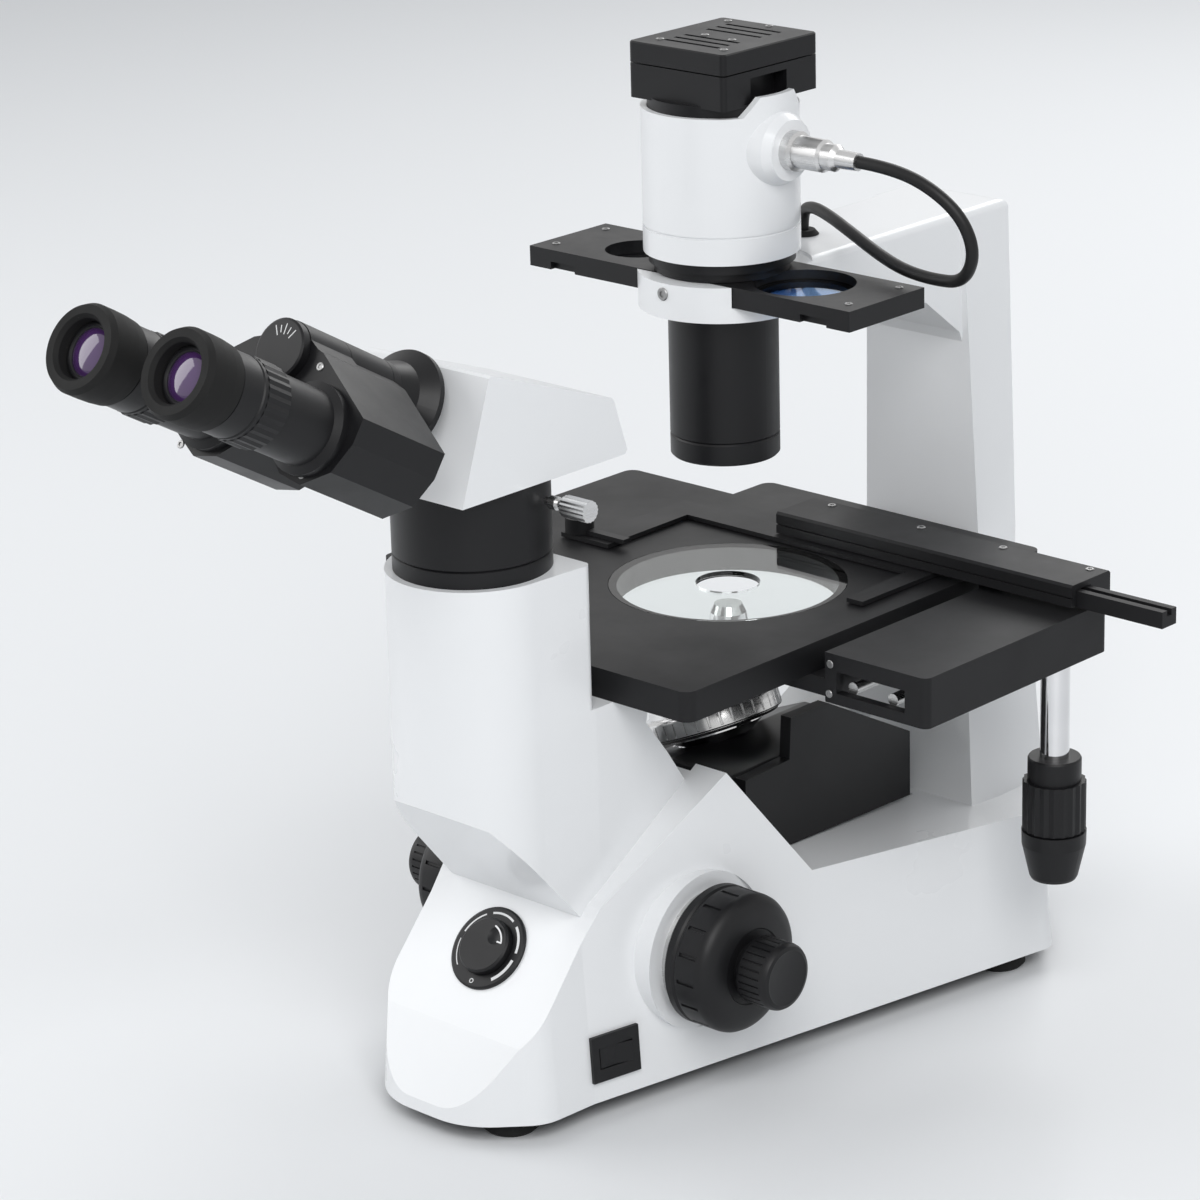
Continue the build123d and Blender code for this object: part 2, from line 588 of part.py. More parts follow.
def carriage_covers():
    """Black side covers of the light path; the left one stays below the turret."""
    bed = SLIDE_GAP
    points = [
        (20.1, 157.0), (84.4, 123.0), (84.4, REAR_RIDGE + 4 + bed), (CHEEK_VALLEY[0] + 2, CHEEK_VALLEY[1] + bed),
        (-42.6, 116.0), (-42.6, 134.8), (-9.6, 136.0), (-8.2, 157.4),
    ]
    top = CARRIAGE_TOP - 6
    low_points = [
        (84.4, top), (84.4, REAR_RIDGE + 4 + bed), (CHEEK_VALLEY[0] + 2, CHEEK_VALLEY[1] + bed), (-41.0, top),
    ]
    right = side_slab(points, CARRIAGE_HALF + 0.5, COVER_HALF)
    left = side_slab(low_points, -COVER_HALF, -CARRIAGE_HALF - 0.5)
    return group(right, left)


def coarse_knobs():
    """Coarse focus knobs on both sides, each with its turned back flange."""
    at = (0, FOCUS_Y, FOCUS_Z)
    bore = COARSE_SHAFT_R
    start = FOCUS_PAD + COLLAR_THICK + SLIDE_GAP
    knob = turned([(bore, start), (31, start), (COARSE_R, start + 3), (COARSE_R, 80), (bore, 80)], at, (1, 0, 0))
    knob += ribbed(COARSE_R, 0.9, 16, 12, (80, FOCUS_Y, FOCUS_Z), (1, 0, 0))
    knob += turned([(bore, 92), (COARSE_R - 0.9, 92), (COARSE_R - 3, 95), (20, KNOB_FACE), (bore, KNOB_FACE)],
                   at, (1, 0, 0))
    knob -= rod(bore, 60, (60, FOCUS_Y, FOCUS_Z), (1, 0, 0))
    return group(knob, mirrored(knob))


def fine_knobs():
    """Fine focus knobs on both sides, on the thin shaft that joins them."""
    at = (0, FOCUS_Y, FOCUS_Z)
    start = KNOB_FACE + SLIDE_GAP
    knob = turned([(FINE_SHAFT_R, start), (13.5, start), (13.5, 101), (FINE_SHAFT_R, 101)], at, (1, 0, 0))
    knob += ribbed(FINE_R, 0.6, 24, 15, (101, FOCUS_Y, FOCUS_Z), (1, 0, 0))
    knob += turned([(0, 116), (FINE_R - 0.6, 116), (FINE_R - 1.4, FINE_END - 1), (13, FINE_END), (0, FINE_END)],
                   at, (1, 0, 0))
    knob -= rod(FINE_SHAFT_R, 22, (95, FOCUS_Y, FOCUS_Z), (1, 0, 0))
    shaft = rod(FINE_SHAFT_R, 2 * 117, (-117, FOCUS_Y, FOCUS_Z), (1, 0, 0))
    return group(knob, mirrored(knob), shaft)


def coarse_shaft():
    """Hollow coarse shaft with the pinion in its middle."""
    ends = FOCUS_PAD + 25
    journal = COARSE_SHAFT_R
    shaft = turned([
        (0, -ends), (journal, -ends), (journal, -RACK_HALF - 3), (RACK_PITCH_R, -RACK_HALF - 3),
        (RACK_PITCH_R, RACK_HALF + 3), (journal, RACK_HALF + 3), (journal, ends), (0, ends),
    ], (0, FOCUS_Y, FOCUS_Z), (1, 0, 0))
    return shaft - rod(FINE_SHAFT_R + RUNNING, 300, (-150, FOCUS_Y, FOCUS_Z), (1, 0, 0))


def tension_collar():
    """Ring behind the right coarse knob that sets how heavily it turns."""
    return ring(30, COARSE_SHAFT_R + RUNNING, COLLAR_THICK, (FOCUS_PAD, FOCUS_Y, FOCUS_Z), (1, 0, 0))


def hinge_plane():
    """Plane across the eyepiece tubes: origin on the hinge axis, Z towards the user along the tubes."""
    tilt = radians(EYE_TILT)
    return Plane(origin=(0, HINGE_SPOT[0], HINGE_SPOT[1]), x_dir=(1, 0, 0), z_dir=(0, -cos(tilt), sin(tilt)))


def head_housing():
    """White prism head."""
    points = [(-201.0, 374.6), (-121.0, 345.5), (-112.5, 319.0), (-114.0, HEAD_LOW), (-221.0, HEAD_LOW)]
    body = side_slab(points, -HEAD_HALF, HEAD_HALF)
    body = chamfer([e for e in body.edges() if abs(e.center().X) < 1 and e.center().Z > 340], 1.5)
    return body - rod(30, 12, (0, COLUMN_Y, HEAD_LOW - 1)) - hinge_plane() * rod(12, 40, (0, 0, -110))


def head_collar():
    """Black collar that carries the head on the column."""
    top = HEAD_LOW - 0.3
    profile = [
        (18, COLUMN_TOP - 16), (23.8, COLUMN_TOP - 16), (23.8, COLUMN_TOP), (COLLAR_R, COLUMN_TOP),
        (COLLAR_R, 279.6), (COLLAR_R - 0.8, 280.2), (COLLAR_R, 280.8), (COLLAR_R, top), (18, top),
    ]
    body = turned(profile, (0, COLUMN_Y, 0))
    return body - rod(2.05, 30, clamp_start(), (1, 0, 0))


def clamp_start():
    """Inner end of the head clamp screw."""
    return (COLLAR_R - 16, COLUMN_Y + 14, HEAD_LOW - 11)


def head_clamp_screw():
    """Knurled screw that clamps the head."""
    x, y, z = clamp_start()
    shank = rod(2.0, 26, (x, y, z), (1, 0, 0)) + rod(3.2, 4, (x + 17, y, z), (1, 0, 0))
    grip = ribbed(5.2, 0.4, 16, 15, (x + 26, y, z), (1, 0, 0))
    return shank + grip


def hinge_barrel():
    """Black barrel on the head's front face, the hinge of the two prism boxes."""
    profile = [(0, -97), (11.9, -97), (11.9, -80), (HINGE_R + 10, -80), (HINGE_R + 10, -77), (HINGE_R + 3, -71),
               (HINGE_R, -62), (HINGE_R, -57), (HINGE_PIN_R, -57), (HINGE_PIN_R, -0.7), (HINGE_R - 0.3, -0.7),
               (HINGE_R - 0.3, 3.4), (HINGE_R - 1.3, 4), (0, 4)]
    return hinge_plane() * turned(profile)


def box_outline(side):
    """Outline of a prism box across the tubes, from the hinge out round the eyepiece tube."""
    points = [(2.0, 9.0), (22.0, 3.0), (57.0, -20.0), (56.0, -32.0), (49.0, -46.0), (34.0, -54.5), (20.0, -52.0),
              (9.0, -43.0), (2.0, -8.0)]
    return make_face(Polyline(*[(side * x, y) for x, y in points], close=True))


def prism_box(side):
    """One prism box with its hinge ear; the right ear is the front one."""
    ear_low, ear_high = (-28.0, -1.0) if side > 0 else (-56.7, -28.3)
    body = hinge_plane() * extrude(Plane.XY.offset(-BOX_DEPTH) * box_outline(side), BOX_DEPTH - 1)
    body -= hinge_plane() * rod(HINGE_R + SLIDE_GAP, 80, (0, 0, -70))
    arm = hinge_plane() * extrude(Plane.XY.offset(ear_low) * make_face(Polyline(
        (side * 6.0, -12.0), (side * 6.0, 11.0), (side * 20.0, 3.0), (side * 20.0, -12.0), close=True)),
        ear_high - ear_low)
    body += arm + hinge_plane() * rod(HINGE_R, ear_high - ear_low, (0, 0, ear_low))
    return body - hinge_plane() * rod(HINGE_PIN_R + RUNNING, 80, (0, 0, -70))


def tube_axis_frame(side):
    """Frame on an eyepiece's axis, Z towards the user."""
    reach = radians(REST_SWING)
    return hinge_plane() * Pos(side * ARM_REACH * sin(reach), -ARM_REACH * cos(reach), 0)


def eyepiece_tube(side):
    """Fixed eyepiece tube screwed on its prism box."""
    return tube_axis_frame(side) * turned([
        (TUBE_BORE_R, -1), (21, -1), (21, 3), (TUBE_OUTER_R, 5), (TUBE_OUTER_R, 34), (TUBE_BORE_R, 34)])


def dioptre_ring(side):
    """Turning dioptre ring round the eyepiece, above its tube."""
    return tube_axis_frame(side) * ribbed_ring(19.2, TUBE_BORE_R, 34 + SLIDE_GAP, 51)


def ribbed_ring(outer, inner, low, high):
    """A knurled ring between two heights."""
    body = ribbed(outer, 0.5, 30, high - low - 3, (0, 0, low), (0, 0, 1))
    body += turned([(0, high - 3), (outer - 0.5, high - 3), (outer - 0.5, high - 1), (outer - 1.5, high), (0, high)])
    return body - rod(inner, 200, (0, 0, -50))


def eyepiece(side):
    """Wide-field eyepiece: barrel in the tube, head above the ring, closed by its eye lens."""
    return tube_axis_frame(side) * turned([
        (0, 8), (15.05, 8), (15.05, 51 + SLIDE_GAP), (18.6, 51 + SLIDE_GAP), (18.6, 63), (17.0, 64), (17.0, 78),
        (11, 78), (11, 75), (8, 76.4), (4, 77.2), (0, 77.5)])


def eyecup(side):
    """Folded rubber eyecup."""
    return tube_axis_frame(side) * turned([
        (17.2, 64.5), (19.6, 64.5), (20.2, 70), (EYECUP_R, 76), (EYECUP_R, 83), (EYECUP_R - 1.5, EYE_FACE),
        (15, EYE_FACE), (13.5, 84), (13.5, 78.3), (17.2, 78.3)])


def lamp_housing():
    """White lamp housing with the raised side and the connector's boss."""
    body = ring(LAMP_R, LAMP_R - LAMP_WALL, LAMP_TOP - LAMP_LOW, (0, 0, LAMP_LOW))
    body += ring(LAMP_R - LAMP_WALL + 0.5, TUBE_R - 8, 4, (0, 0, LAMP_LOW))
    hump = (ring(LAMP_R, LAMP_R - LAMP_WALL, 30, (0, 0, LAMP_TOP - 20)) &
            side_slab([(-20, LAMP_TOP - 21), (20, LAMP_TOP - 21), (20, LAMP_TOP), (12, LAMP_TOP + 9),
                       (-12, LAMP_TOP + 9), (-20, LAMP_TOP)], 0, 60))
    body += hump
    body -= ring(LAMP_R + 5, LAMP_R - 0.7, 1.2, (0, 0, LAMP_LOW + 12.5))
    boss = turned([(0, LAMP_R - 8), (20, LAMP_R - 8), (17, LAMP_R + 2), (14.5, LAMP_R + 6.5), (0, LAMP_R + 6.5)],
                  (0, 0, CONNECTOR_Z), (1, 0, 0))
    body += boss - rod(LAMP_R - LAMP_WALL, 100, (0, 0, LAMP_LOW))
    body -= rod(7.0, 40, (LAMP_R - 12, 0, CONNECTOR_Z), (1, 0, 0))
    return body


def lamp_base():
    """Black base of the lamp house, seated on the condenser ring."""
    hole = TUBE_R - 9
    low = SLIDER_TOP + SLIDE_GAP
    return turned([(hole, low), (33, low), (33, 380.5), (LAMP_BASE_R, 381), (LAMP_BASE_R, LAMP_LOW), (hole, LAMP_LOW)])


def lamp_cap_lower():
    """Lower part of the lamp cap, with its neck and the notch at the raised side."""
    body = block(-CAP_HALF, CAP_HALF, CAP_FRONT, CAP_BACK, CAP_LOW, CAP_SPLIT - 0.6)
    body = fillet(upright_edges(body, [(s * CAP_HALF, y) for s in (1, -1) for y in (CAP_FRONT, CAP_BACK)]), 2.5)
    body -= block(CAP_HALF - 8, CAP_HALF + 5, -12, 14, CAP_LOW - 1, CAP_SPLIT - 4)
    body += rod(LAMP_R - LAMP_WALL - 0.3, CAP_LOW - LAMP_TOP + 7, (0, 0, LAMP_TOP - 6))
    return body


def lamp_cap_upper():
    """Upper part of the lamp cap with its cooling slots."""
    body = block(-CAP_HALF, CAP_HALF, CAP_FRONT, CAP_BACK, CAP_SPLIT, CAP_TOP)
    body = fillet(upright_edges(body, [(s * CAP_HALF, y) for s in (1, -1) for y in (CAP_FRONT, CAP_BACK)]), 2.5)
    body = chamfer([e for e in body.edges() if e.center().Z > CAP_TOP - 0.1], 0.6)
    middle = (CAP_FRONT + CAP_BACK) / 2
    for y in (-22, -15, -8, 8, 15, 22):
        body -= block(-17, 17, middle + y - 1.2, middle + y + 1.2, CAP_TOP - 2.5, CAP_TOP + 1)
    return body


def halogen_lamp():
    """Ceramic socket with its halogen capsule, held under the cap's neck."""
    top = LAMP_TOP - 6
    return turned([
        (0, top), (16, top), (16, top - 3), (9, top - 3), (9, top - 14), (5.5, top - 14), (5.5, top - 28),
        (3, top - 32), (0, top - 32.5)])


def lamp_connector():
    """Metal connector on the lamp housing's boss: locking ring, sleeve and cable nipple."""
    start = LAMP_R - 4
    profile = [
        (0, start), (6.95, start), (6.95, LAMP_R + 6.5), (9.6, LAMP_R + 6.5), (9.6, LAMP_R + 11), (7.8, LAMP_R + 12),
        (7.8, LAMP_R + 27), (6.4, LAMP_R + 28), (6.4, LAMP_R + 34), (4.6, LAMP_R + 36), (4.2, CONNECTOR_END),
        (0, CONNECTOR_END),
    ]
    return turned(profile, (0, 0, CONNECTOR_Z), (1, 0, 0))


def lamp_lead():
    """The lead from the connector round into the arm: straight runs joined by tangent arcs."""
    points = [Vector(*p) for p in LEAD_ROUTE]
    radii = []
    for before, here, after in zip(points, points[1:], points[2:]):
        turn = radians((here - before).get_angle(after - here))
        shorter = min((here - before).length, (after - here).length)
        radii.append(0.45 * shorter / tan(turn / 2))
    path = FilletPolyline(*points, radius=radii)
    print("lead radii", [round(r, 1) for r in radii], "length", round(path.length, 1))
    start = Plane(origin=points[0], z_dir=points[1] - points[0])
    lead = sweep(start * Circle(LEAD_R), path=path)
    print("lead volume", round(lead.volume, 1), "section by length", round(pi * LEAD_R ** 2 * path.length, 1))
    return lead


def phase_slider():
    """Slider across the condenser ring with two openings."""
    low = SLIDER_TOP - SLIDER_THICK
    body = block(-SLIDER_HALF_X, SLIDER_HALF_X, -SLIDER_HALF_Y, SLIDER_HALF_Y, low, SLIDER_TOP)
    body -= rod(FILTER_R + 1.5, 20, (FILTER_X, 0, low + 3))
    body -= rod(FILTER_R - 2, 20, (FILTER_X, 0, low - 3))
    body -= rod(17, 20, (ANNULUS_X, 0, low + 3))
    body -= rod(15, 20, (ANNULUS_X, 0, low - 3))
    body -= rod(20, 20, (0, 0, low - 3))
    for side in (1, -1):
        body -= block(side * 80 - 8, side * 80 + 8, -SLIDER_HALF_Y - 1, -SLIDER_HALF_Y + 3, low - 1, low + 4)
    return body


def blue_filter():
    """Round blue filter glass in the slider."""
    return rod(FILTER_R + 1.4, 2.5, (FILTER_X, 0, SLIDER_TOP - SLIDER_THICK + 3))


def condenser_tube():
    """Black condenser barrel, screwed into the ring from below."""
    inner = 20.0
    profile = [
        (inner, TUBE_LOW), (TUBE_R - 1, TUBE_LOW), (TUBE_R, TUBE_LOW + 1), (TUBE_R, 293.5), (TUBE_R - 0.7, 294.3),
        (TUBE_R, 295.1), (TUBE_R, RING_LOW), (TUBE_R - 3, RING_LOW), (TUBE_R - 3, RING_LOW + 6), (inner, RING_LOW + 6),
    ]
    return turned(profile)


def condenser_lens():
    """Front lens of the condenser."""
    low = TUBE_LOW + 1.5
    return turned([(0, low), (19.9, low), (19.9, low + 4), (14, low + 8), (7, low + 10), (0, low + 10.6)])


def dial_plate():
    """Round plate of the brightness dial."""
    spigot = 9.0 - RUNNING
    return dial_frame() * turned([
        (spigot, -2), (spigot, 0.02), (21, 0.02), (21, 1.2), (20, 1.8), (14.4, 1.8), (14.4, 1.0), (4, 1.0), (4, -2)])


def dial_knob():
    """Flat brightness knob with a finger dimple."""
    knob = turned([(0, -6), (3.9, -6), (3.9, 1.3), (14, 1.3), (14, 5.0), (13, 6.0), (0, 6.0)])
    knob -= Pos(5, 6, 12.5) * Sphere(8.0)
    return dial_frame() * knob


def switch_frame():
    """Frame of the rocker switch."""
    frame = Pos(0, 0, 1) * Box(23, 27.5, 2) + Pos(0, 0, -5.5) * Box(12.8, 21.8, 13)
    frame -= Pos(0, 0, 1.2) * Box(10.6, 19.4, 12)
    return switch_place() * (frame - rod(PIVOT_R + RUNNING, 12, (-6, 0, 0), (1, 0, 0)))


def rocker():
    """Rocker with its two slanting faces and its pivot."""
    points = [(-9.0, 3.2), (0, 1.2), (9.0, 1.6), (8.6, -1.5), (0, -4.2), (-8.6, -1.5)]
    body = extrude(Plane.YZ.offset(-5) * make_face(Polyline(*points, close=True)), 10)
    return switch_place() * (body + rod(PIVOT_R, 11.6, (-5.8, 0, 0), (1, 0, 0)))


def mains_inlet():
    """Three-pin appliance inlet in the stand's back."""
    body = block(-14, 14, STAND_BACK - 20, STAND_BACK + 1, 26, 46)
    body += block(-17, 17, STAND_BACK, STAND_BACK + 2.5, 23, 49)
    body -= block(-11.5, 11.5, STAND_BACK - 16, STAND_BACK + 4, 28, 44)
    for x, z in ((-7, 36), (7, 36), (0, 40)):
        body += rod(1.6, 15, (x, STAND_BACK - 17, z), (0, 1, 0))
    return body


NODES = {
    "stand_body": stand_body,
    "base_plate": base_plate,
    "rubber_feet": rubber_feet,
    "illumination_arm": illumination_arm,
    "lead_grommet": lead_grommet,
    "stage_plate": stage_plate,
    "glass_insert": glass_insert,
    "auxiliary_stage": aux_stage,
    "stage_brackets": stage_brackets,
    "guide_housing": guide_housing,
    "guide_rods": guide_rods,
    "y_carriage": y_carriage,
    "cross_guide": cross_guide,
    "cross_rail": cross_rail,
    "specimen_holder": specimen_holder,
    "holder_clamp": holder_clamp,
    "drive_tube": drive_tube,
    "upper_drive_knob": upper_drive_knob,
    "lower_drive_knob": lower_drive_knob,
    "nosepiece_turret": nosepiece_turret,
    "objective_4x": lambda: objective(1, 26, 8.0, 14),
    "objective_10x": lambda: objective(0, 36, 7.0, 16),
    "objective_20x": lambda: objective(3, 38, 6.0, 18),
    "nosepiece_dome": nosepiece_dome,
    "focusing_carriage": focusing_carriage,
    "carriage_covers": carriage_covers,
    "coarse_knobs": coarse_knobs,
    "fine_knobs": fine_knobs,
    "coarse_shaft": coarse_shaft,
    "tension_collar": tension_collar,
    "head_housing": head_housing,
    "head_collar": head_collar,
    "head_clamp_screw": head_clamp_screw,
    "hinge_barrel": hinge_barrel,
    "prism_box_right": lambda: prism_box(1),
    "prism_box_left": lambda: prism_box(-1),
    "eyepiece_tube_right": lambda: eyepiece_tube(1),
    "eyepiece_tube_left": lambda: eyepiece_tube(-1),
    "dioptre_ring_right": lambda: dioptre_ring(1),
    "dioptre_ring_left": lambda: dioptre_ring(-1),
    "eyepiece_right": lambda: eyepiece(1),
    "eyepiece_left": lambda: eyepiece(-1),
    "eyecup_right": lambda: eyecup(1),
    "eyecup_left": lambda: eyecup(-1),
    "lamp_housing": lamp_housing,
    "lamp_base": lamp_base,
    "lamp_cap_lower": lamp_cap_lower,
    "lamp_cap_upper": lamp_cap_upper,
    "halogen_lamp": halogen_lamp,
    "lamp_connector": lamp_connector,
    "lamp_lead": lamp_lead,
    "phase_slider": phase_slider,
    "blue_filter": blue_filter,
    "condenser_tube": condenser_tube,
    "condenser_lens": condenser_lens,
    "dial_plate": dial_plate,
    "dial_knob": dial_knob,
    "switch_frame": switch_frame,
    "rocker": rocker,
    "mains_inlet": mains_inlet,
}

for node_name, maker in NODES.items():
    export_step(maker(), f"parts/{node_name}.step")
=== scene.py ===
import json
import math

import bmesh
import bpy
from mathutils import Matrix, Vector


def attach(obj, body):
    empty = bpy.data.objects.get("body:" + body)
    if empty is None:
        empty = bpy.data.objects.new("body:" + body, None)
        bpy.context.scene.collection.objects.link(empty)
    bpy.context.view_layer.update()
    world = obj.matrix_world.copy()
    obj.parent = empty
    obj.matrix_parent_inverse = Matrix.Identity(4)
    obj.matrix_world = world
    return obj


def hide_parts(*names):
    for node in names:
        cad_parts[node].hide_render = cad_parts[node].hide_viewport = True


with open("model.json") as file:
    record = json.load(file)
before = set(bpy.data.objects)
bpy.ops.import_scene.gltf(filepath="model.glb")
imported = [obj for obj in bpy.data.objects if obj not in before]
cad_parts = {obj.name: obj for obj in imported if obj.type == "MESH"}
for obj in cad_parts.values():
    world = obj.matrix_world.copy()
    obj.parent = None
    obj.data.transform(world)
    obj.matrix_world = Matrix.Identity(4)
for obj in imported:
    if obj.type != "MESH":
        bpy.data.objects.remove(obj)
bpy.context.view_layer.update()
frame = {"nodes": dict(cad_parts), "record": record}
NODES = frame["nodes"]
MM = 0.001

# Places of the microscope's main lines, in metres
HINGE = Vector((0, -0.2868, 0.3986))
EYE_TILT = math.radians(30)
TUBE_DIRECTION = Vector((0, -math.cos(EYE_TILT), math.sin(EYE_TILT)))
TUBE_UP = Vector((0, math.sin(EYE_TILT), math.cos(EYE_TILT)))
EYE_ACROSS = 0.03035       # from the hinge to an eyepiece's axis
EYE_DOWN = 0.03053
DECK_SLOPE = math.atan2(57, 50)
DIAL_CENTRE = Vector((0, -0.1755, 0.07821))
DIAL_NORMAL = Vector((0, -math.sin(DECK_SLOPE), math.cos(DECK_SLOPE)))
DIAL_PLACE = Matrix.Translation(DIAL_CENTRE) @ Matrix.Rotation(DECK_SLOPE, 4, "X")
TUBE_PLACE = Matrix.Rotation(math.pi / 2 - EYE_TILT, 4, "X")
FOCUS_AXLE = Vector((0, -0.097, 0.0697))
TURRET_TILT = math.radians(22)
TURRET_RADIUS = 0.020      # from the turret's axis to the optical axis
TURRET_HEIGHT = 0.1665
TURRET_AXIS = Vector((-math.sin(TURRET_TILT), 0, math.cos(TURRET_TILT)))
TURRET_CENTRE = Vector((-TURRET_RADIUS * math.cos(TURRET_TILT), 0,
                        TURRET_HEIGHT - TURRET_RADIUS * math.sin(TURRET_TILT)))

# Camera and lamps, in metres, degrees and watts
CAMERA_PLACE = Vector((1.3095, -1.4813, 0.8940))
CAMERA_AZIMUTH, CAMERA_ELEVATION, CAMERA_ROLL = 43.3124, 19.1444, -1.5608
CAMERA_LENS = 126.93
LAMPS = [
    ("key", (1.6, -1.5, 2.0), 1.6, 42),
    ("fill", (-2.0, -1.0, 1.2), 1.8, 22),
    ("rim", (-0.6, 2.2, 1.8), 1.6, 26),
]
LAMPS_AIM = Vector((0, 0, 0.2))


# Camera
def set_camera():
    """Camera at the photograph's viewing angle."""
    azimuth, elevation, roll = (math.radians(a) for a in (CAMERA_AZIMUTH, CAMERA_ELEVATION, CAMERA_ROLL))
    back = Vector((math.sin(azimuth) * math.cos(elevation), -math.cos(azimuth) * math.cos(elevation),
                   math.sin(elevation)))
    right = Vector((math.cos(azimuth), math.sin(azimuth), 0))
    up = back.cross(right)
    across = right * math.cos(roll) + up * math.sin(roll)
    upward = up * math.cos(roll) - right * math.sin(roll)
    lens = bpy.data.cameras.new("camera")
    lens.sensor_width = 36
    lens.lens = CAMERA_LENS
    lens.clip_end = 50
    camera = bpy.data.objects.new("camera", lens)
    bpy.context.scene.collection.objects.link(camera)
    turn = Matrix((across, upward, back)).transposed().to_4x4()
    camera.matrix_world = Matrix.Translation(CAMERA_PLACE) @ turn
    bpy.context.scene.camera = camera


# Lamp lead
LEAD_DIAMETER = 0.006
LEAD_POINTS = [
    (0.0854, 0.0, 0.4395), (0.103, 0.0, 0.4395), (0.124, 0.002, 0.434), (0.141, 0.006, 0.421),
    (0.146, 0.010, 0.403), (0.136, 0.014, 0.387), (0.114, 0.019, 0.384), (0.092, 0.024, 0.3842),
    (0.070, 0.032, 0.387), (0.046, 0.041, 0.392), (0.024, 0.051, 0.395), (0.006, 0.060, 0.395),
    (-0.0055, 0.0665, 0.390), (-0.0055, 0.0665, 0.3805),
]


def lamp_lead(material):
    """The lamp's lead on one smooth line."""
    curve = bpy.data.curves.new("lamp_lead_sheath", "CURVE")
    curve.dimensions = "3D"
    line = curve.splines.new("NURBS")
    line.points.add(len(LEAD_POINTS) - 1)
    for point, place in zip(line.points, LEAD_POINTS):
        point.co = (*place, 1)
    line.order_u = 3
    line.use_endpoint_u = True
    line.resolution_u = 12
    curve.bevel_depth = LEAD_DIAMETER / 2
    curve.bevel_resolution = 6
    curve.use_fill_caps = True
    lead = bpy.data.objects.new("lamp_lead_sheath", curve)
    bpy.context.scene.collection.objects.link(lead)
    curve.materials.append(material)
    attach(lead, "stand")
    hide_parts("lamp_lead")


# Shared effects
def effect(name, inputs, outputs):
    """An empty shader group with named inputs and outputs."""
    tree = bpy.data.node_groups.new(name, "ShaderNodeTree")
    for socket, kind, value in inputs:
        made = tree.interface.new_socket(name=socket, in_out="INPUT", socket_type=kind)
        made.default_value = value
    for socket, kind in outputs:
        tree.interface.new_socket(name=socket, in_out="OUTPUT", socket_type=kind)
    return tree, tree.nodes.new("NodeGroupInput"), tree.nodes.new("NodeGroupOutput")


def surface_effect():
    """Soft mottling, fine grain and the odd speck of dust over an object."""
    tree, given, result = effect("surface_skin", [
        ("Mottle Scale", "NodeSocketFloat", 30.0), ("Grain Scale", "NodeSocketFloat", 900.0),
        ("Low", "NodeSocketFloat", 0.3), ("High", "NodeSocketFloat", 0.4), ("Dust", "NodeSocketFloat", 0.1),
    ], [("Roughness", "NodeSocketFloat"), ("Height", "NodeSocketFloat"), ("Mottle", "NodeSocketFloat"),
        ("Dust", "NodeSocketFloat")])
    nodes, links = tree.nodes, tree.links
    place = nodes.new("ShaderNodeTexCoord")
    mottle = nodes.new("ShaderNodeTexNoise")
    mottle.inputs["Detail"].default_value = 4
    mottle.inputs["Roughness"].default_value = 0.6
    grain = nodes.new("ShaderNodeTexNoise")
    grain.inputs["Detail"].default_value = 3
    spread = nodes.new("ShaderNodeMapRange")
    spread.inputs["From Min"].default_value = 0.3
    spread.inputs["From Max"].default_value = 0.7
    specks = nodes.new("ShaderNodeTexVoronoi")
    specks.inputs["Scale"].default_value = 160
    near = nodes.new("ShaderNodeMapRange")
    near.inputs["From Min"].default_value = 0.05
    near.inputs["From Max"].default_value = 0.02
    some = nodes.new("ShaderNodeMapRange")
    some.inputs["From Min"].default_value = 0.5
    some.inputs["From Max"].default_value = 0.62
    both = nodes.new("ShaderNodeMath")
    both.operation = "MULTIPLY"
    amount = nodes.new("ShaderNodeMath")
    amount.operation = "MULTIPLY"
    for texture in (mottle, grain, specks):
        links.new(place.outputs["Object"], texture.inputs["Vector"])
    links.new(given.outputs["Mottle Scale"], mottle.inputs["Scale"])
    links.new(given.outputs["Grain Scale"], grain.inputs["Scale"])
    links.new(mottle.outputs["Fac"], spread.inputs["Value"])
    links.new(given.outputs["Low"], spread.inputs["To Min"])
    links.new(given.outputs["High"], spread.inputs["To Max"])
    links.new(specks.outputs["Distance"], near.inputs["Value"])
    links.new(mottle.outputs["Fac"], some.inputs["Value"])
    links.new(near.outputs["Result"], both.inputs[0])
    links.new(some.outputs["Result"], both.inputs[1])
    links.new(both.outputs["Value"], amount.inputs[0])
    links.new(given.outputs["Dust"], amount.inputs[1])
    links.new(spread.outputs["Result"], result.inputs["Roughness"])
    links.new(grain.outputs["Fac"], result.inputs["Height"])
    links.new(mottle.outputs["Fac"], result.inputs["Mottle"])
    links.new(amount.outputs["Value"], result.inputs["Dust"])
    return tree


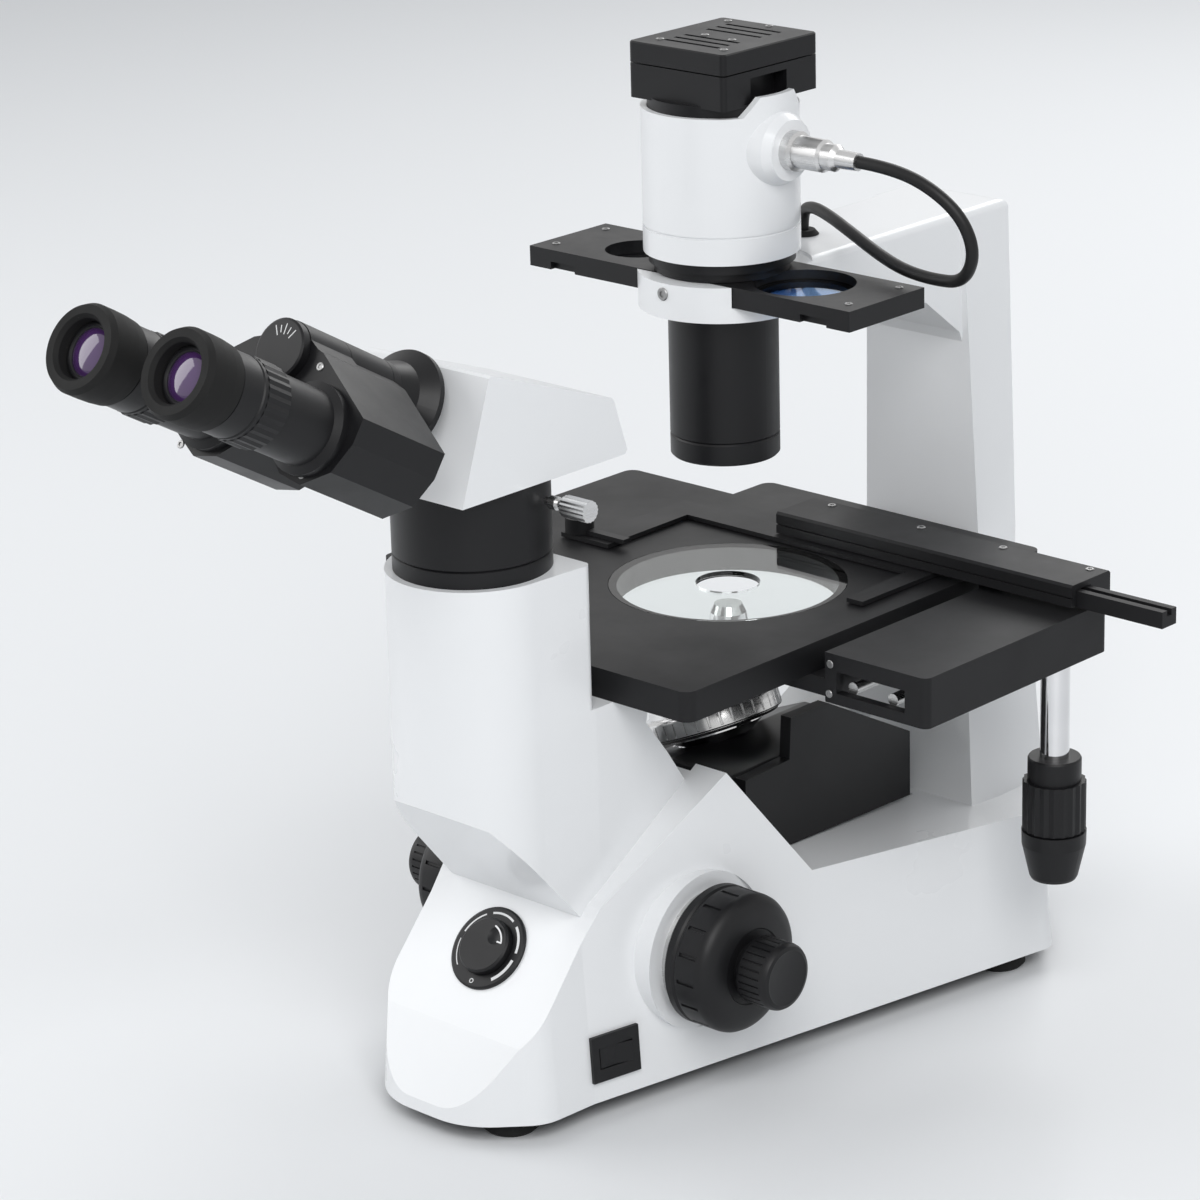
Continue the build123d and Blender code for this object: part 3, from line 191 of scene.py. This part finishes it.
def line_effect():
    """Fine machining lines along the third axis of the vector that it is given."""
    tree, given, result = effect("machining_lines", [
        ("Vector", "NodeSocketVector", (0, 0, 0)), ("Scale", "NodeSocketFloat", 400.0),
        ("Low", "NodeSocketFloat", 0.15), ("High", "NodeSocketFloat", 0.3),
    ], [("Roughness", "NodeSocketFloat"), ("Height", "NodeSocketFloat")])
    nodes, links = tree.nodes, tree.links
    stretch = nodes.new("ShaderNodeVectorMath")
    stretch.operation = "MULTIPLY"
    stretch.inputs[1].default_value = (0.03, 0.03, 1.0)
    lines = nodes.new("ShaderNodeTexNoise")
    lines.inputs["Detail"].default_value = 5
    spread = nodes.new("ShaderNodeMapRange")
    spread.inputs["From Min"].default_value = 0.3
    spread.inputs["From Max"].default_value = 0.7
    links.new(given.outputs["Vector"], stretch.inputs[0])
    links.new(stretch.outputs["Vector"], lines.inputs["Vector"])
    links.new(given.outputs["Scale"], lines.inputs["Scale"])
    links.new(lines.outputs["Fac"], spread.inputs["Value"])
    links.new(given.outputs["Low"], spread.inputs["To Min"])
    links.new(given.outputs["High"], spread.inputs["To Max"])
    links.new(spread.outputs["Result"], result.inputs["Roughness"])
    links.new(lines.outputs["Fac"], result.inputs["Height"])
    return tree


SKIN = surface_effect()
LINES = line_effect()


def fresh(name):
    """A new material with its nodes, links and surface shader."""
    material = bpy.data.materials.new(name)
    material.use_nodes = True
    nodes = material.node_tree.nodes
    return material, nodes, material.node_tree.links, nodes["Principled BSDF"]


def bumped(nodes, links, height, shader, strength, distance):
    """Joins a height to the shader's normal."""
    bump = nodes.new("ShaderNodeBump")
    bump.inputs["Strength"].default_value = strength
    bump.inputs["Distance"].default_value = distance
    links.new(height, bump.inputs["Height"])
    links.new(bump.outputs["Normal"], shader.inputs["Normal"])


def coated(name, colour, worn, low, high, mottle=25.0, grain=900.0, dust=0.3, bump=0.1, depth=0.0001,
           coat=0.0, metallic=0.0, specular=0.5):
    """Paint, plastic or rubber: mottled colour and gloss, fine grain and a little dust."""
    material, nodes, links, shader = fresh(name)
    skin = nodes.new("ShaderNodeGroup")
    skin.node_tree = SKIN
    skin.inputs["Mottle Scale"].default_value = mottle
    skin.inputs["Grain Scale"].default_value = grain
    skin.inputs["Low"].default_value = low
    skin.inputs["High"].default_value = high
    skin.inputs["Dust"].default_value = dust
    tone = nodes.new("ShaderNodeMix")
    tone.data_type = "RGBA"
    tone.inputs["A"].default_value = (*colour, 1)
    tone.inputs["B"].default_value = (*worn, 1)
    dusty = nodes.new("ShaderNodeMix")
    dusty.data_type = "RGBA"
    dusty.inputs["B"].default_value = (0.45, 0.44, 0.42, 1)
    links.new(skin.outputs["Mottle"], tone.inputs["Factor"])
    links.new(tone.outputs["Result"], dusty.inputs["A"])
    links.new(skin.outputs["Dust"], dusty.inputs["Factor"])
    links.new(dusty.outputs["Result"], shader.inputs["Base Color"])
    links.new(skin.outputs["Roughness"], shader.inputs["Roughness"])
    bumped(nodes, links, skin.outputs["Height"], shader, bump, depth)
    shader.inputs["Coat Weight"].default_value = coat
    shader.inputs["Coat Roughness"].default_value = 0.08
    shader.inputs["Metallic"].default_value = metallic
    shader.inputs["Specular IOR Level"].default_value = specular
    return material


def machined(name, colour, low, high, scale=500.0, bump=0.12, axis=(0, 0, 0)):
    """Bare metal with fine machining lines; axis is the turn that lays them across the piece."""
    material, nodes, links, shader = fresh(name)
    place = nodes.new("ShaderNodeTexCoord")
    turn = nodes.new("ShaderNodeMapping")
    turn.inputs["Rotation"].default_value = axis
    lines = nodes.new("ShaderNodeGroup")
    lines.node_tree = LINES
    lines.inputs["Scale"].default_value = scale
    lines.inputs["Low"].default_value = low
    lines.inputs["High"].default_value = high
    cloud = nodes.new("ShaderNodeTexNoise")
    cloud.inputs["Scale"].default_value = 40
    tone = nodes.new("ShaderNodeMix")
    tone.data_type = "RGBA"
    tone.inputs["A"].default_value = (*colour, 1)
    tone.inputs["B"].default_value = (*[c * 0.86 for c in colour], 1)
    links.new(place.outputs["Object"], turn.inputs["Vector"])
    links.new(turn.outputs["Vector"], lines.inputs["Vector"])
    links.new(place.outputs["Object"], cloud.inputs["Vector"])
    links.new(cloud.outputs["Fac"], tone.inputs["Factor"])
    links.new(tone.outputs["Result"], shader.inputs["Base Color"])
    links.new(lines.outputs["Roughness"], shader.inputs["Roughness"])
    bumped(nodes, links, lines.outputs["Height"], shader, bump, 0.00005)
    shader.inputs["Metallic"].default_value = 1.0
    return material


def glassy(name, colour, low=0.0, high=0.03, ior=1.5):
    """Clear or coloured glass with faint wipe marks."""
    material, nodes, links, shader = fresh(name)
    skin = nodes.new("ShaderNodeGroup")
    skin.node_tree = SKIN
    skin.inputs["Mottle Scale"].default_value = 60
    skin.inputs["Low"].default_value = low
    skin.inputs["High"].default_value = high
    tone = nodes.new("ShaderNodeMix")
    tone.data_type = "RGBA"
    tone.inputs["A"].default_value = (*colour, 1)
    tone.inputs["B"].default_value = (*[c * 0.97 for c in colour], 1)
    links.new(skin.outputs["Mottle"], tone.inputs["Factor"])
    links.new(tone.outputs["Result"], shader.inputs["Base Color"])
    links.new(skin.outputs["Roughness"], shader.inputs["Roughness"])
    shader.inputs["Transmission Weight"].default_value = 1.0
    shader.inputs["IOR"].default_value = ior
    return material


WHITE_ENAMEL = coated("white_enamel", (0.84, 0.85, 0.86), (0.80, 0.81, 0.82), 0.26, 0.36, mottle=12,
                      grain=700, dust=0.05, bump=0.06, coat=0.25)
BLACK_PAINT = coated("black_paint", (0.006, 0.006, 0.007), (0.009, 0.009, 0.010), 0.34, 0.46, mottle=30,
                     grain=2200, dust=0.04, bump=0.1, specular=0.28)
STAGE_BLACK = coated("stage_black", (0.007, 0.007, 0.008), (0.011, 0.011, 0.012), 0.42, 0.55, mottle=18,
                     grain=3000, dust=0.06, bump=0.3, depth=0.00008, specular=0.25)
BLACK_PLASTIC = coated("black_plastic", (0.006, 0.006, 0.007), (0.009, 0.009, 0.010), 0.38, 0.5, mottle=40,
                       grain=2600, dust=0.05, bump=0.15, specular=0.3)
BLACK_RUBBER = coated("black_rubber", (0.008, 0.008, 0.008), (0.013, 0.013, 0.013), 0.6, 0.75, mottle=50,
                      grain=3500, dust=0.1, bump=0.3, specular=0.2)
BLACK_STEEL = coated("black_steel", (0.02, 0.02, 0.02), (0.03, 0.03, 0.03), 0.5, 0.65, grain=2500)
LEAD_SHEATH = coated("lead_sheath", (0.006, 0.006, 0.007), (0.010, 0.010, 0.010), 0.4, 0.5, mottle=60,
                     grain=1500, dust=0.05, bump=0.1, specular=0.3)
CERAMIC = coated("lamp_ceramic", (0.8, 0.78, 0.73), (0.7, 0.68, 0.62), 0.3, 0.5)
CHROME = machined("bright_chrome", (0.82, 0.82, 0.83), 0.05, 0.14, scale=900, bump=0.05)
GROUND_STEEL = machined("ground_steel", (0.6, 0.6, 0.59), 0.2, 0.35)
SATIN_STEEL = machined("satin_steel", (0.7, 0.7, 0.7), 0.22, 0.36, scale=700)
KNURLED_STEEL = machined("knurled_steel", (0.72, 0.72, 0.72), 0.16, 0.3, scale=700, bump=0.1)
CLEAR_GLASS = glassy("clear_glass", (0.93, 0.97, 0.96))
BLUE_GLASS = glassy("blue_glass", (0.32, 0.55, 0.95))
COATED_LENS = coated("coated_lens", (0.05, 0.02, 0.09), (0.08, 0.03, 0.13), 0.02, 0.06, coat=1.0, bump=0.0,
                     dust=0.0)
WHITE_PRINT = coated("white_print", (0.8, 0.8, 0.8), (0.7, 0.7, 0.7), 0.4, 0.5)
SCREW_STEEL = machined("screw_steel", (0.35, 0.35, 0.35), 0.3, 0.45, scale=900)

FINISHES = {
    "white_enamel": WHITE_ENAMEL, "black_paint": BLACK_PAINT, "stage_black": STAGE_BLACK,
    "black_plastic": BLACK_PLASTIC, "black_rubber": BLACK_RUBBER, "black_steel": BLACK_STEEL,
    "lead_sheath": LEAD_SHEATH, "lamp_ceramic": CERAMIC, "bright_chrome": CHROME,
    "ground_steel": GROUND_STEEL, "satin_steel": SATIN_STEEL, "knurled_steel": KNURLED_STEEL,
    "clear_glass": CLEAR_GLASS, "blue_glass": BLUE_GLASS,
}


def finish_nodes():
    """Gives each CAD node the finish of its material slot."""
    for part in frame["record"]["subparts"]:
        node = NODES[part["node"]]
        for slot in node.material_slots:
            slot.material = FINISHES[part["material_slot"]]


# Turned and milled small pieces
SMOOTH_ANGLE = math.radians(32)
FLUTE_LIP = 0.00025
SIDE_FACE = 0.3            # a face on the side of a turned piece leans up or down less than this


def along(place, direction, spin=0.0):
    """Matrix that stands a piece, modelled up the Z axis, at a place and along a direction."""
    turn = Vector(direction).to_track_quat("Z", "Y").to_matrix().to_4x4()
    return Matrix.Translation(Vector(place)) @ turn @ Matrix.Rotation(spin, 4, "Z")


def settle(piece, matrix=None):
    """Puts the piece's place in its mesh and leaves its object at the origin."""
    bpy.context.view_layer.update()
    piece.data.transform((matrix or Matrix()) @ piece.matrix_world)
    piece.matrix_world = Matrix()


def dress(piece, material, body):
    """Finish and body of a piece, with its faces shaded smooth by angle."""
    piece.data.materials.clear()
    piece.data.materials.append(material)
    bpy.ops.object.select_all(action="DESELECT")
    piece.select_set(True)
    bpy.context.view_layer.objects.active = piece
    bpy.ops.object.shade_smooth_by_angle(angle=SMOOTH_ANGLE)
    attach(piece, body)


def turned(name, steps, segments=64):
    """A turned piece: a disc drawn up the axis through (radius, height) steps, in millimetres."""
    bpy.ops.object.select_all(action="DESELECT")
    radius, height = steps[0]
    bpy.ops.mesh.primitive_circle_add(vertices=segments, radius=radius * MM, fill_type="NGON",
                                      location=(0, 0, height * MM))
    piece = bpy.context.object
    piece.name = name
    bpy.ops.object.mode_set(mode="EDIT")
    bpy.ops.mesh.select_all(action="SELECT")
    for wide, high in steps[1:]:
        bpy.ops.mesh.extrude_region_move(TRANSFORM_OT_translate={"value": (0, 0, (high - height) * MM)})
        bpy.ops.transform.resize(value=(wide / radius, wide / radius, 1), center_override=(0, 0, high * MM))
        radius, height = wide, high
    bpy.ops.mesh.select_all(action="SELECT")
    bpy.ops.mesh.normals_make_consistent(inside=False)
    bpy.ops.object.mode_set(mode="OBJECT")
    settle(piece)
    return piece


def pick(piece, wanted):
    """Selects the faces whose middle and normal pass the test."""
    bpy.context.view_layer.objects.active = piece
    bpy.ops.object.mode_set(mode="EDIT")
    bpy.ops.mesh.select_mode(type="FACE")
    bpy.ops.mesh.select_all(action="DESELECT")
    work = bmesh.from_edit_mesh(piece.data)
    for face in work.faces:
        face.select = wanted(face.calc_center_median(), face.normal)
    bmesh.update_edit_mesh(piece.data)


def fluted(piece, low, high, segments, every, depth):
    """Cuts flutes along the side faces between two heights, in millimetres: one face in every few."""
    def in_flute(middle, normal):
        if abs(normal.z) > SIDE_FACE or not low * MM < middle.z < high * MM:
            return False
        step = int(round((math.atan2(middle.y, middle.x) / math.tau - 0.5 / segments) * segments))
        return step % every == 0
    pick(piece, in_flute)
    bpy.ops.mesh.inset(thickness=FLUTE_LIP, depth=-depth * MM, use_individual=False)
    bpy.ops.object.mode_set(mode="OBJECT")


def copied(template, name, matrix):
    """A copy of a piece with its own mesh, put in its place."""
    piece = template.copy()
    piece.data = template.data.copy()
    piece.name = name
    bpy.context.scene.collection.objects.link(piece)
    piece.data.transform(matrix)
    return piece


def joined(first, *others):
    """Joins pieces into the first one."""
    bpy.ops.object.select_all(action="DESELECT")
    for piece in (first, *others):
        piece.select_set(True)
    bpy.context.view_layer.objects.active = first
    bpy.ops.object.join()
    return first


def bare(template):
    """Takes a template away when its copies are made."""
    bpy.data.objects.remove(template, do_unlink=True)


# Focus knobs
def focus_knobs():
    """Fluted coarse and fine knobs on both sides."""
    segments = 112
    coarse = turned("coarse_template", [
        (31, 70.8), (33.4, 71.2), (34.4, 72.4), (34.4, 76.0), (33.6, 76.8), (33.4, 77.4), (34.2, 78.2),
        (34.3, 79.5),
        (34.3, 90.0), (34.0, 92.0), (32.8, 94.2), (30.5, 96.0), (26.0, 97.5), (19.0, 98.0),
        (18.4, 97.4), (16.6, 97.0)], segments)
    fluted(coarse, 79.6, 90.0, segments, every=7, depth=0.9)
    fine = turned("fine_template", [
        (13.0, 97.0), (13.2, 99.8), (14.0, 100.4), (16.2, 100.8), (16.7, 101.8), (16.7, 102.6), (16.7, 115.0),
        (16.4, 117.0), (15.4, 118.6), (13.6, 119.2), (12.6, 118.9)], segments)
    fluted(fine, 102.7, 115.0, segments, every=4, depth=0.6)
    for template, name, node, body in (
            (coarse, "coarse_focus_knobs", "coarse_knobs", "coarse_focus"),
            (fine, "fine_focus_knobs", "fine_knobs", "fine_focus")):
        right = copied(template, name, along(FOCUS_AXLE, (1, 0, 0)))
        left = copied(template, name + "_left", along(FOCUS_AXLE, (-1, 0, 0)))
        pair = joined(right, left)
        bare(template)
        dress(pair, BLACK_PLASTIC, body)
        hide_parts(node)


# Nosepiece and carriage
def turret_rim():
    """Knurled grip ring round the turret, on the turret's tilted axis."""
    segments = 180
    rim = turned("turret_grip_ring", [
        (33.6, -22.0), (35.1, -21.6), (35.6, -21.0), (35.6, -20.4), (35.6, -13.6), (35.3, -12.6),
        (34.2, -11.8), (32.4, -11.4)], segments)
    fluted(rim, -20.4, -13.6, segments, every=5, depth=0.7)
    settle(rim, along(TURRET_CENTRE, TURRET_AXIS))
    dress(rim, KNURLED_STEEL, "nosepiece")


SHELF_MIDDLE = (0, 0.006, 0.128)
SHELF_SIZE = (0.0795, 0.104, 0.016)
SHELF_TOP = (0.001, 0, 0.1362)         # point on the sloping top and its normal, as the turret's tilt
SHELF_TOP_NORMAL = (-0.375, 0, 0.927)


def carriage_shelf():
    """Black cover on the lifting carriage, under the turret's dome."""
    bpy.ops.object.select_all(action="DESELECT")
    bpy.ops.mesh.primitive_cube_add(size=1, location=SHELF_MIDDLE)
    shelf = bpy.context.object
    shelf.name = "carriage_shelf_cover"
    shelf.scale = SHELF_SIZE
    settle(shelf)
    bpy.ops.object.mode_set(mode="EDIT")
    bpy.ops.mesh.select_all(action="SELECT")
    bpy.ops.mesh.bisect(plane_co=SHELF_TOP, plane_no=SHELF_TOP_NORMAL, clear_outer=True, use_fill=True)
    bpy.ops.mesh.select_all(action="SELECT")
    bpy.ops.mesh.bevel(offset=0.0012, segments=3, affect="EDGES")
    bpy.ops.mesh.normals_make_consistent(inside=False)
    bpy.ops.object.mode_set(mode="OBJECT")
    dress(shelf, BLACK_PAINT, "focus_carriage")


# Eyepieces
def eye_point(side, ahead):
    """Point on an eyepiece's axis, ahead of the hinge disc in millimetres."""
    hinge_side = HINGE + Vector((side * EYE_ACROSS, 0, 0)) - TUBE_UP * EYE_DOWN
    return hinge_side + TUBE_DIRECTION * ahead * MM


def eye_lenses():
    """Coated eye lenses in their black mounts."""
    lens = turned("lens_template", [
        (10.8, 77.6), (10.8, 78.4), (9.6, 79.2), (7.4, 79.9), (4.6, 80.4), (1.6, 80.6)], 48)
    mount = turned("mount_template", [
        (13.3, 78.0), (13.3, 79.3), (12.8, 79.6), (11.9, 79.6), (11.6, 79.0), (10.9, 78.6),
        (10.8, 78.2)], 48)
    for side, word in ((1, "right"), (-1, "left")):
        place = along(eye_point(side, 0), TUBE_DIRECTION)
        glass = copied(lens, f"eye_lens_{word}", place)
        dress(glass, COATED_LENS, f"{word}_ocular")
        ring = copied(mount, f"eye_lens_mount_{word}", place)
        dress(ring, BLACK_PAINT, f"{word}_ocular")
    bare(lens)
    bare(mount)


# Screws
def socket_screw():
    """Template of a small screw with a hexagon socket: its head is 4 mm wide and seats at the origin."""
    head = turned("screw_template", [(1.9, -0.4), (2.0, 0.25), (1.75, 0.5)], 24)
    bpy.ops.object.select_all(action="DESELECT")
    bpy.ops.mesh.primitive_cylinder_add(vertices=6, radius=0.00105, depth=0.0008, location=(0, 0, 0.0005))
    cutter = bpy.context.object
    cut = head.modifiers.new("socket", "BOOLEAN")
    cut.operation = "DIFFERENCE"
    cut.object = cutter
    bpy.context.view_layer.objects.active = head
    bpy.ops.object.modifier_apply(modifier="socket")
    bare(cutter)
    return head


CAP_TOP = 0.488
SLIDER_TOP = 0.3765
GUIDE_TOP = 0.2306
HOUSING_FRONT = -0.0485
SCREWS = [
    ("cap_screw", "stand", (0, 0, 1), 1.0, [
        (-0.0213, 0.0310, CAP_TOP), (0.0030, 0.0332, CAP_TOP), (-0.0083, -0.0004, CAP_TOP),
        (0.0098, -0.0017, CAP_TOP), (-0.0195, -0.0198, CAP_TOP), (0.0218, -0.0211, CAP_TOP)]),
    ("slider_screw", "slider", (0, 0, 1), 1.0, [
        (-0.0940, 0.0190, SLIDER_TOP), (-0.0940, -0.0170, SLIDER_TOP),
        (0.0930, 0.0200, SLIDER_TOP), (0.0930, -0.0172, SLIDER_TOP)]),
    ("cross_guide_screw", "stage_y", (0, 0, 1), 1.1, [
        (x, 0.0905, GUIDE_TOP) for x in (-0.0084, 0.0496, 0.1010, 0.1538)]),
    ("guide_housing_screw", "stand", (0, -1, 0), 1.0, [
        (0.1062, HOUSING_FRONT, 0.2105), (0.1055, HOUSING_FRONT, 0.1955)]),
    ("condenser_ring_set_screw", "stand", (0, -1, 0), 1.6, [(-0.0018, -0.0410, 0.3710)]),
]
SCREW_TURN = 0.4           # each screw in a row is turned on by this from the one before


def screws():
    """Every small socket screw that shows."""
    template = socket_screw()
    for name, body, direction, size, places in SCREWS:
        for number, place in enumerate(places, 1):
            turn = along(place, direction, SCREW_TURN * number if len(places) > 1 else 0.0)
            label = f"{name}_{number}" if len(places) > 1 else name
            piece = copied(template, label, turn @ Matrix.Scale(size, 4))
            dress(piece, SCREW_STEEL, body)
    face = HINGE - TUBE_DIRECTION * MM
    for name, body, across, down in (
            ("right_box_screw_1", "right_ocular", 0.0226, 0.0030),
            ("right_box_screw_2", "right_ocular", 0.0330, 0.0500),
            ("left_box_screw_1", "left_ocular", -0.0437, 0.0510)):
        place = face + Vector((across, 0, 0)) - TUBE_UP * down
        piece = copied(template, name, along(place, TUBE_DIRECTION))
        dress(piece, SCREW_STEEL, body)
    bare(template)


# Printed marks
PRINT = 0.12               # thickness of a printed mark, in millimetres
DIAL_ARC_RADIUS = 17.6
DIAL_ARC_STEP = 58


def arc_mark(name, inner, outer, start, end):
    """A printed arc: part of a flat ring, sizes in millimetres and angles in degrees from +X."""
    bpy.ops.object.select_all(action="DESELECT")
    bpy.ops.mesh.primitive_circle_add(vertices=180, radius=inner * MM, fill_type="NOTHING",
                                      location=(0, 0, 0))
    mark = bpy.context.object
    mark.name = name
    bpy.ops.object.mode_set(mode="EDIT")
    bpy.ops.mesh.select_mode(type="EDGE")
    bpy.ops.mesh.select_all(action="SELECT")
    bpy.ops.mesh.extrude_region_move()
    bpy.ops.transform.resize(value=(outer / inner, outer / inner, 1), center_override=(0, 0, 0))

    def outside(middle, normal):
        angle = math.degrees(math.atan2(middle.y, middle.x)) % 360
        return not any(start <= angle + turn <= end for turn in (-360, 0, 360))

    pick(mark, outside)
    bpy.ops.mesh.delete(type="FACE")
    bpy.ops.mesh.select_all(action="SELECT")
    bpy.ops.mesh.extrude_region_move(TRANSFORM_OT_translate={"value": (0, 0, PRINT * MM)})
    bpy.ops.mesh.select_all(action="SELECT")
    bpy.ops.mesh.normals_make_consistent(inside=False)
    bpy.ops.object.mode_set(mode="OBJECT")
    settle(mark)
    return mark


def bar_mark(name, length, width, place):
    """A printed bar centred on a place, in millimetres."""
    bpy.ops.object.select_all(action="DESELECT")
    bpy.ops.mesh.primitive_cube_add(size=1, location=(place[0] * MM, place[1] * MM, PRINT * MM / 2))
    mark = bpy.context.object
    mark.name = name
    mark.scale = (length * MM, width * MM, PRINT * MM)
    settle(mark)
    bpy.ops.object.mode_set(mode="EDIT")
    bpy.ops.mesh.select_all(action="SELECT")
    bpy.ops.mesh.bevel(offset=0.02 * MM, segments=1, affect="EDGES")
    bpy.ops.object.mode_set(mode="OBJECT")
    return mark


def dial_marks():
    """Printed brightness scale on the dial plate, and the knob's pointer."""
    marks = []
    for number in range(5):
        start = 238 - DIAL_ARC_STEP * (number + 1)
        half = (0.5 + 0.28 * number) / 2
        inner, outer = DIAL_ARC_RADIUS - half, DIAL_ARC_RADIUS + half
        marks.append(arc_mark(f"arc_{number}", inner, outer, start, start + 46))
    marks.append(arc_mark("zero", 0.8, 1.2, 0, 360))
    marks[-1].data.transform(Matrix.Translation((0, -DIAL_ARC_RADIUS * MM, 0)))
    scale = joined(*marks)
    scale.name = "dial_scale"
    settle(scale, Matrix.Translation(DIAL_NORMAL * 1.78 * MM) @ DIAL_PLACE)
    dress(scale, WHITE_PRINT, "stand")
    pointer = joined(arc_mark("dial_pointer", 10.2, 11.0, 20, 78), bar_mark("tip", 3.2, 0.8, (8.8, 3.4)))
    pointer.name = "dial_pointer"
    settle(pointer, Matrix.Translation(DIAL_NORMAL * 5.98 * MM) @ DIAL_PLACE)
    dress(pointer, WHITE_PRINT, "brightness")


def scale_disc_marks():
    """Pupil distance marks on the hinge disc."""
    marks = [bar_mark(f"mark_{n}", 3.4 if n % 2 else 5.0, 0.5, (8.8, 0)) for n in range(5)]
    for number, mark in enumerate(marks):
        settle(mark, Matrix.Rotation(math.radians(55 + 17 * number), 4, "Z"))
    scale = joined(*marks)
    scale.name = "pupil_distance_scale"
    settle(scale, Matrix.Translation(HINGE + TUBE_DIRECTION * 3.98 * MM) @ TUBE_PLACE)
    dress(scale, WHITE_PRINT, "head")


# Floor, light and background
def set_stage():
    """Pale floor, soft studio lamps and a white background."""
    bpy.ops.object.select_all(action="DESELECT")
    bpy.ops.mesh.primitive_plane_add(size=30, location=(0, 0, 0))
    floor = bpy.context.object
    floor.name = "floor"
    material, nodes, links, shader = fresh("pale_floor")
    shader.inputs["Base Color"].default_value = (0.82, 0.83, 0.84, 1)
    shader.inputs["Roughness"].default_value = 0.55
    floor.data.materials.append(material)
    world = bpy.data.worlds.new("studio")
    bpy.context.scene.world = world
    world.use_nodes = True
    tree = world.node_tree
    sky = tree.nodes["Background"]
    sky.inputs["Strength"].default_value = 0.45
    sky.inputs["Color"].default_value = (0.93, 0.96, 1.0, 1)
    white = tree.nodes.new("ShaderNodeBackground")
    white.inputs["Strength"].default_value = 1.0
    path = tree.nodes.new("ShaderNodeLightPath")
    mix = tree.nodes.new("ShaderNodeMixShader")
    seen = path.outputs["Is Camera Ray"]
    for ray in ("Is Glossy Ray", "Is Transmission Ray"):
        either = tree.nodes.new("ShaderNodeMath")
        either.operation = "MAXIMUM"
        tree.links.new(seen, either.inputs[0])
        tree.links.new(path.outputs[ray], either.inputs[1])
        seen = either.outputs["Value"]
    tree.links.new(seen, mix.inputs["Fac"])
    tree.links.new(sky.outputs["Background"], mix.inputs[1])
    tree.links.new(white.outputs["Background"], mix.inputs[2])
    tree.links.new(mix.outputs["Shader"], tree.nodes["World Output"].inputs["Surface"])
    for name, place, size, power in LAMPS:
        lamp = bpy.data.lights.new(name, "AREA")
        lamp.size = size
        lamp.energy = power
        holder = bpy.data.objects.new(name, lamp)
        bpy.context.scene.collection.objects.link(holder)
        holder.location = place
        holder.rotation_euler = (LAMPS_AIM - Vector(place)).to_track_quat("-Z", "Y").to_euler()
    bpy.context.scene.view_settings.view_transform = "Standard"


set_camera()
lamp_lead(LEAD_SHEATH)
finish_nodes()
focus_knobs()
turret_rim()
carriage_shelf()
eye_lenses()
screws()
dial_marks()
scale_disc_marks()
set_stage()
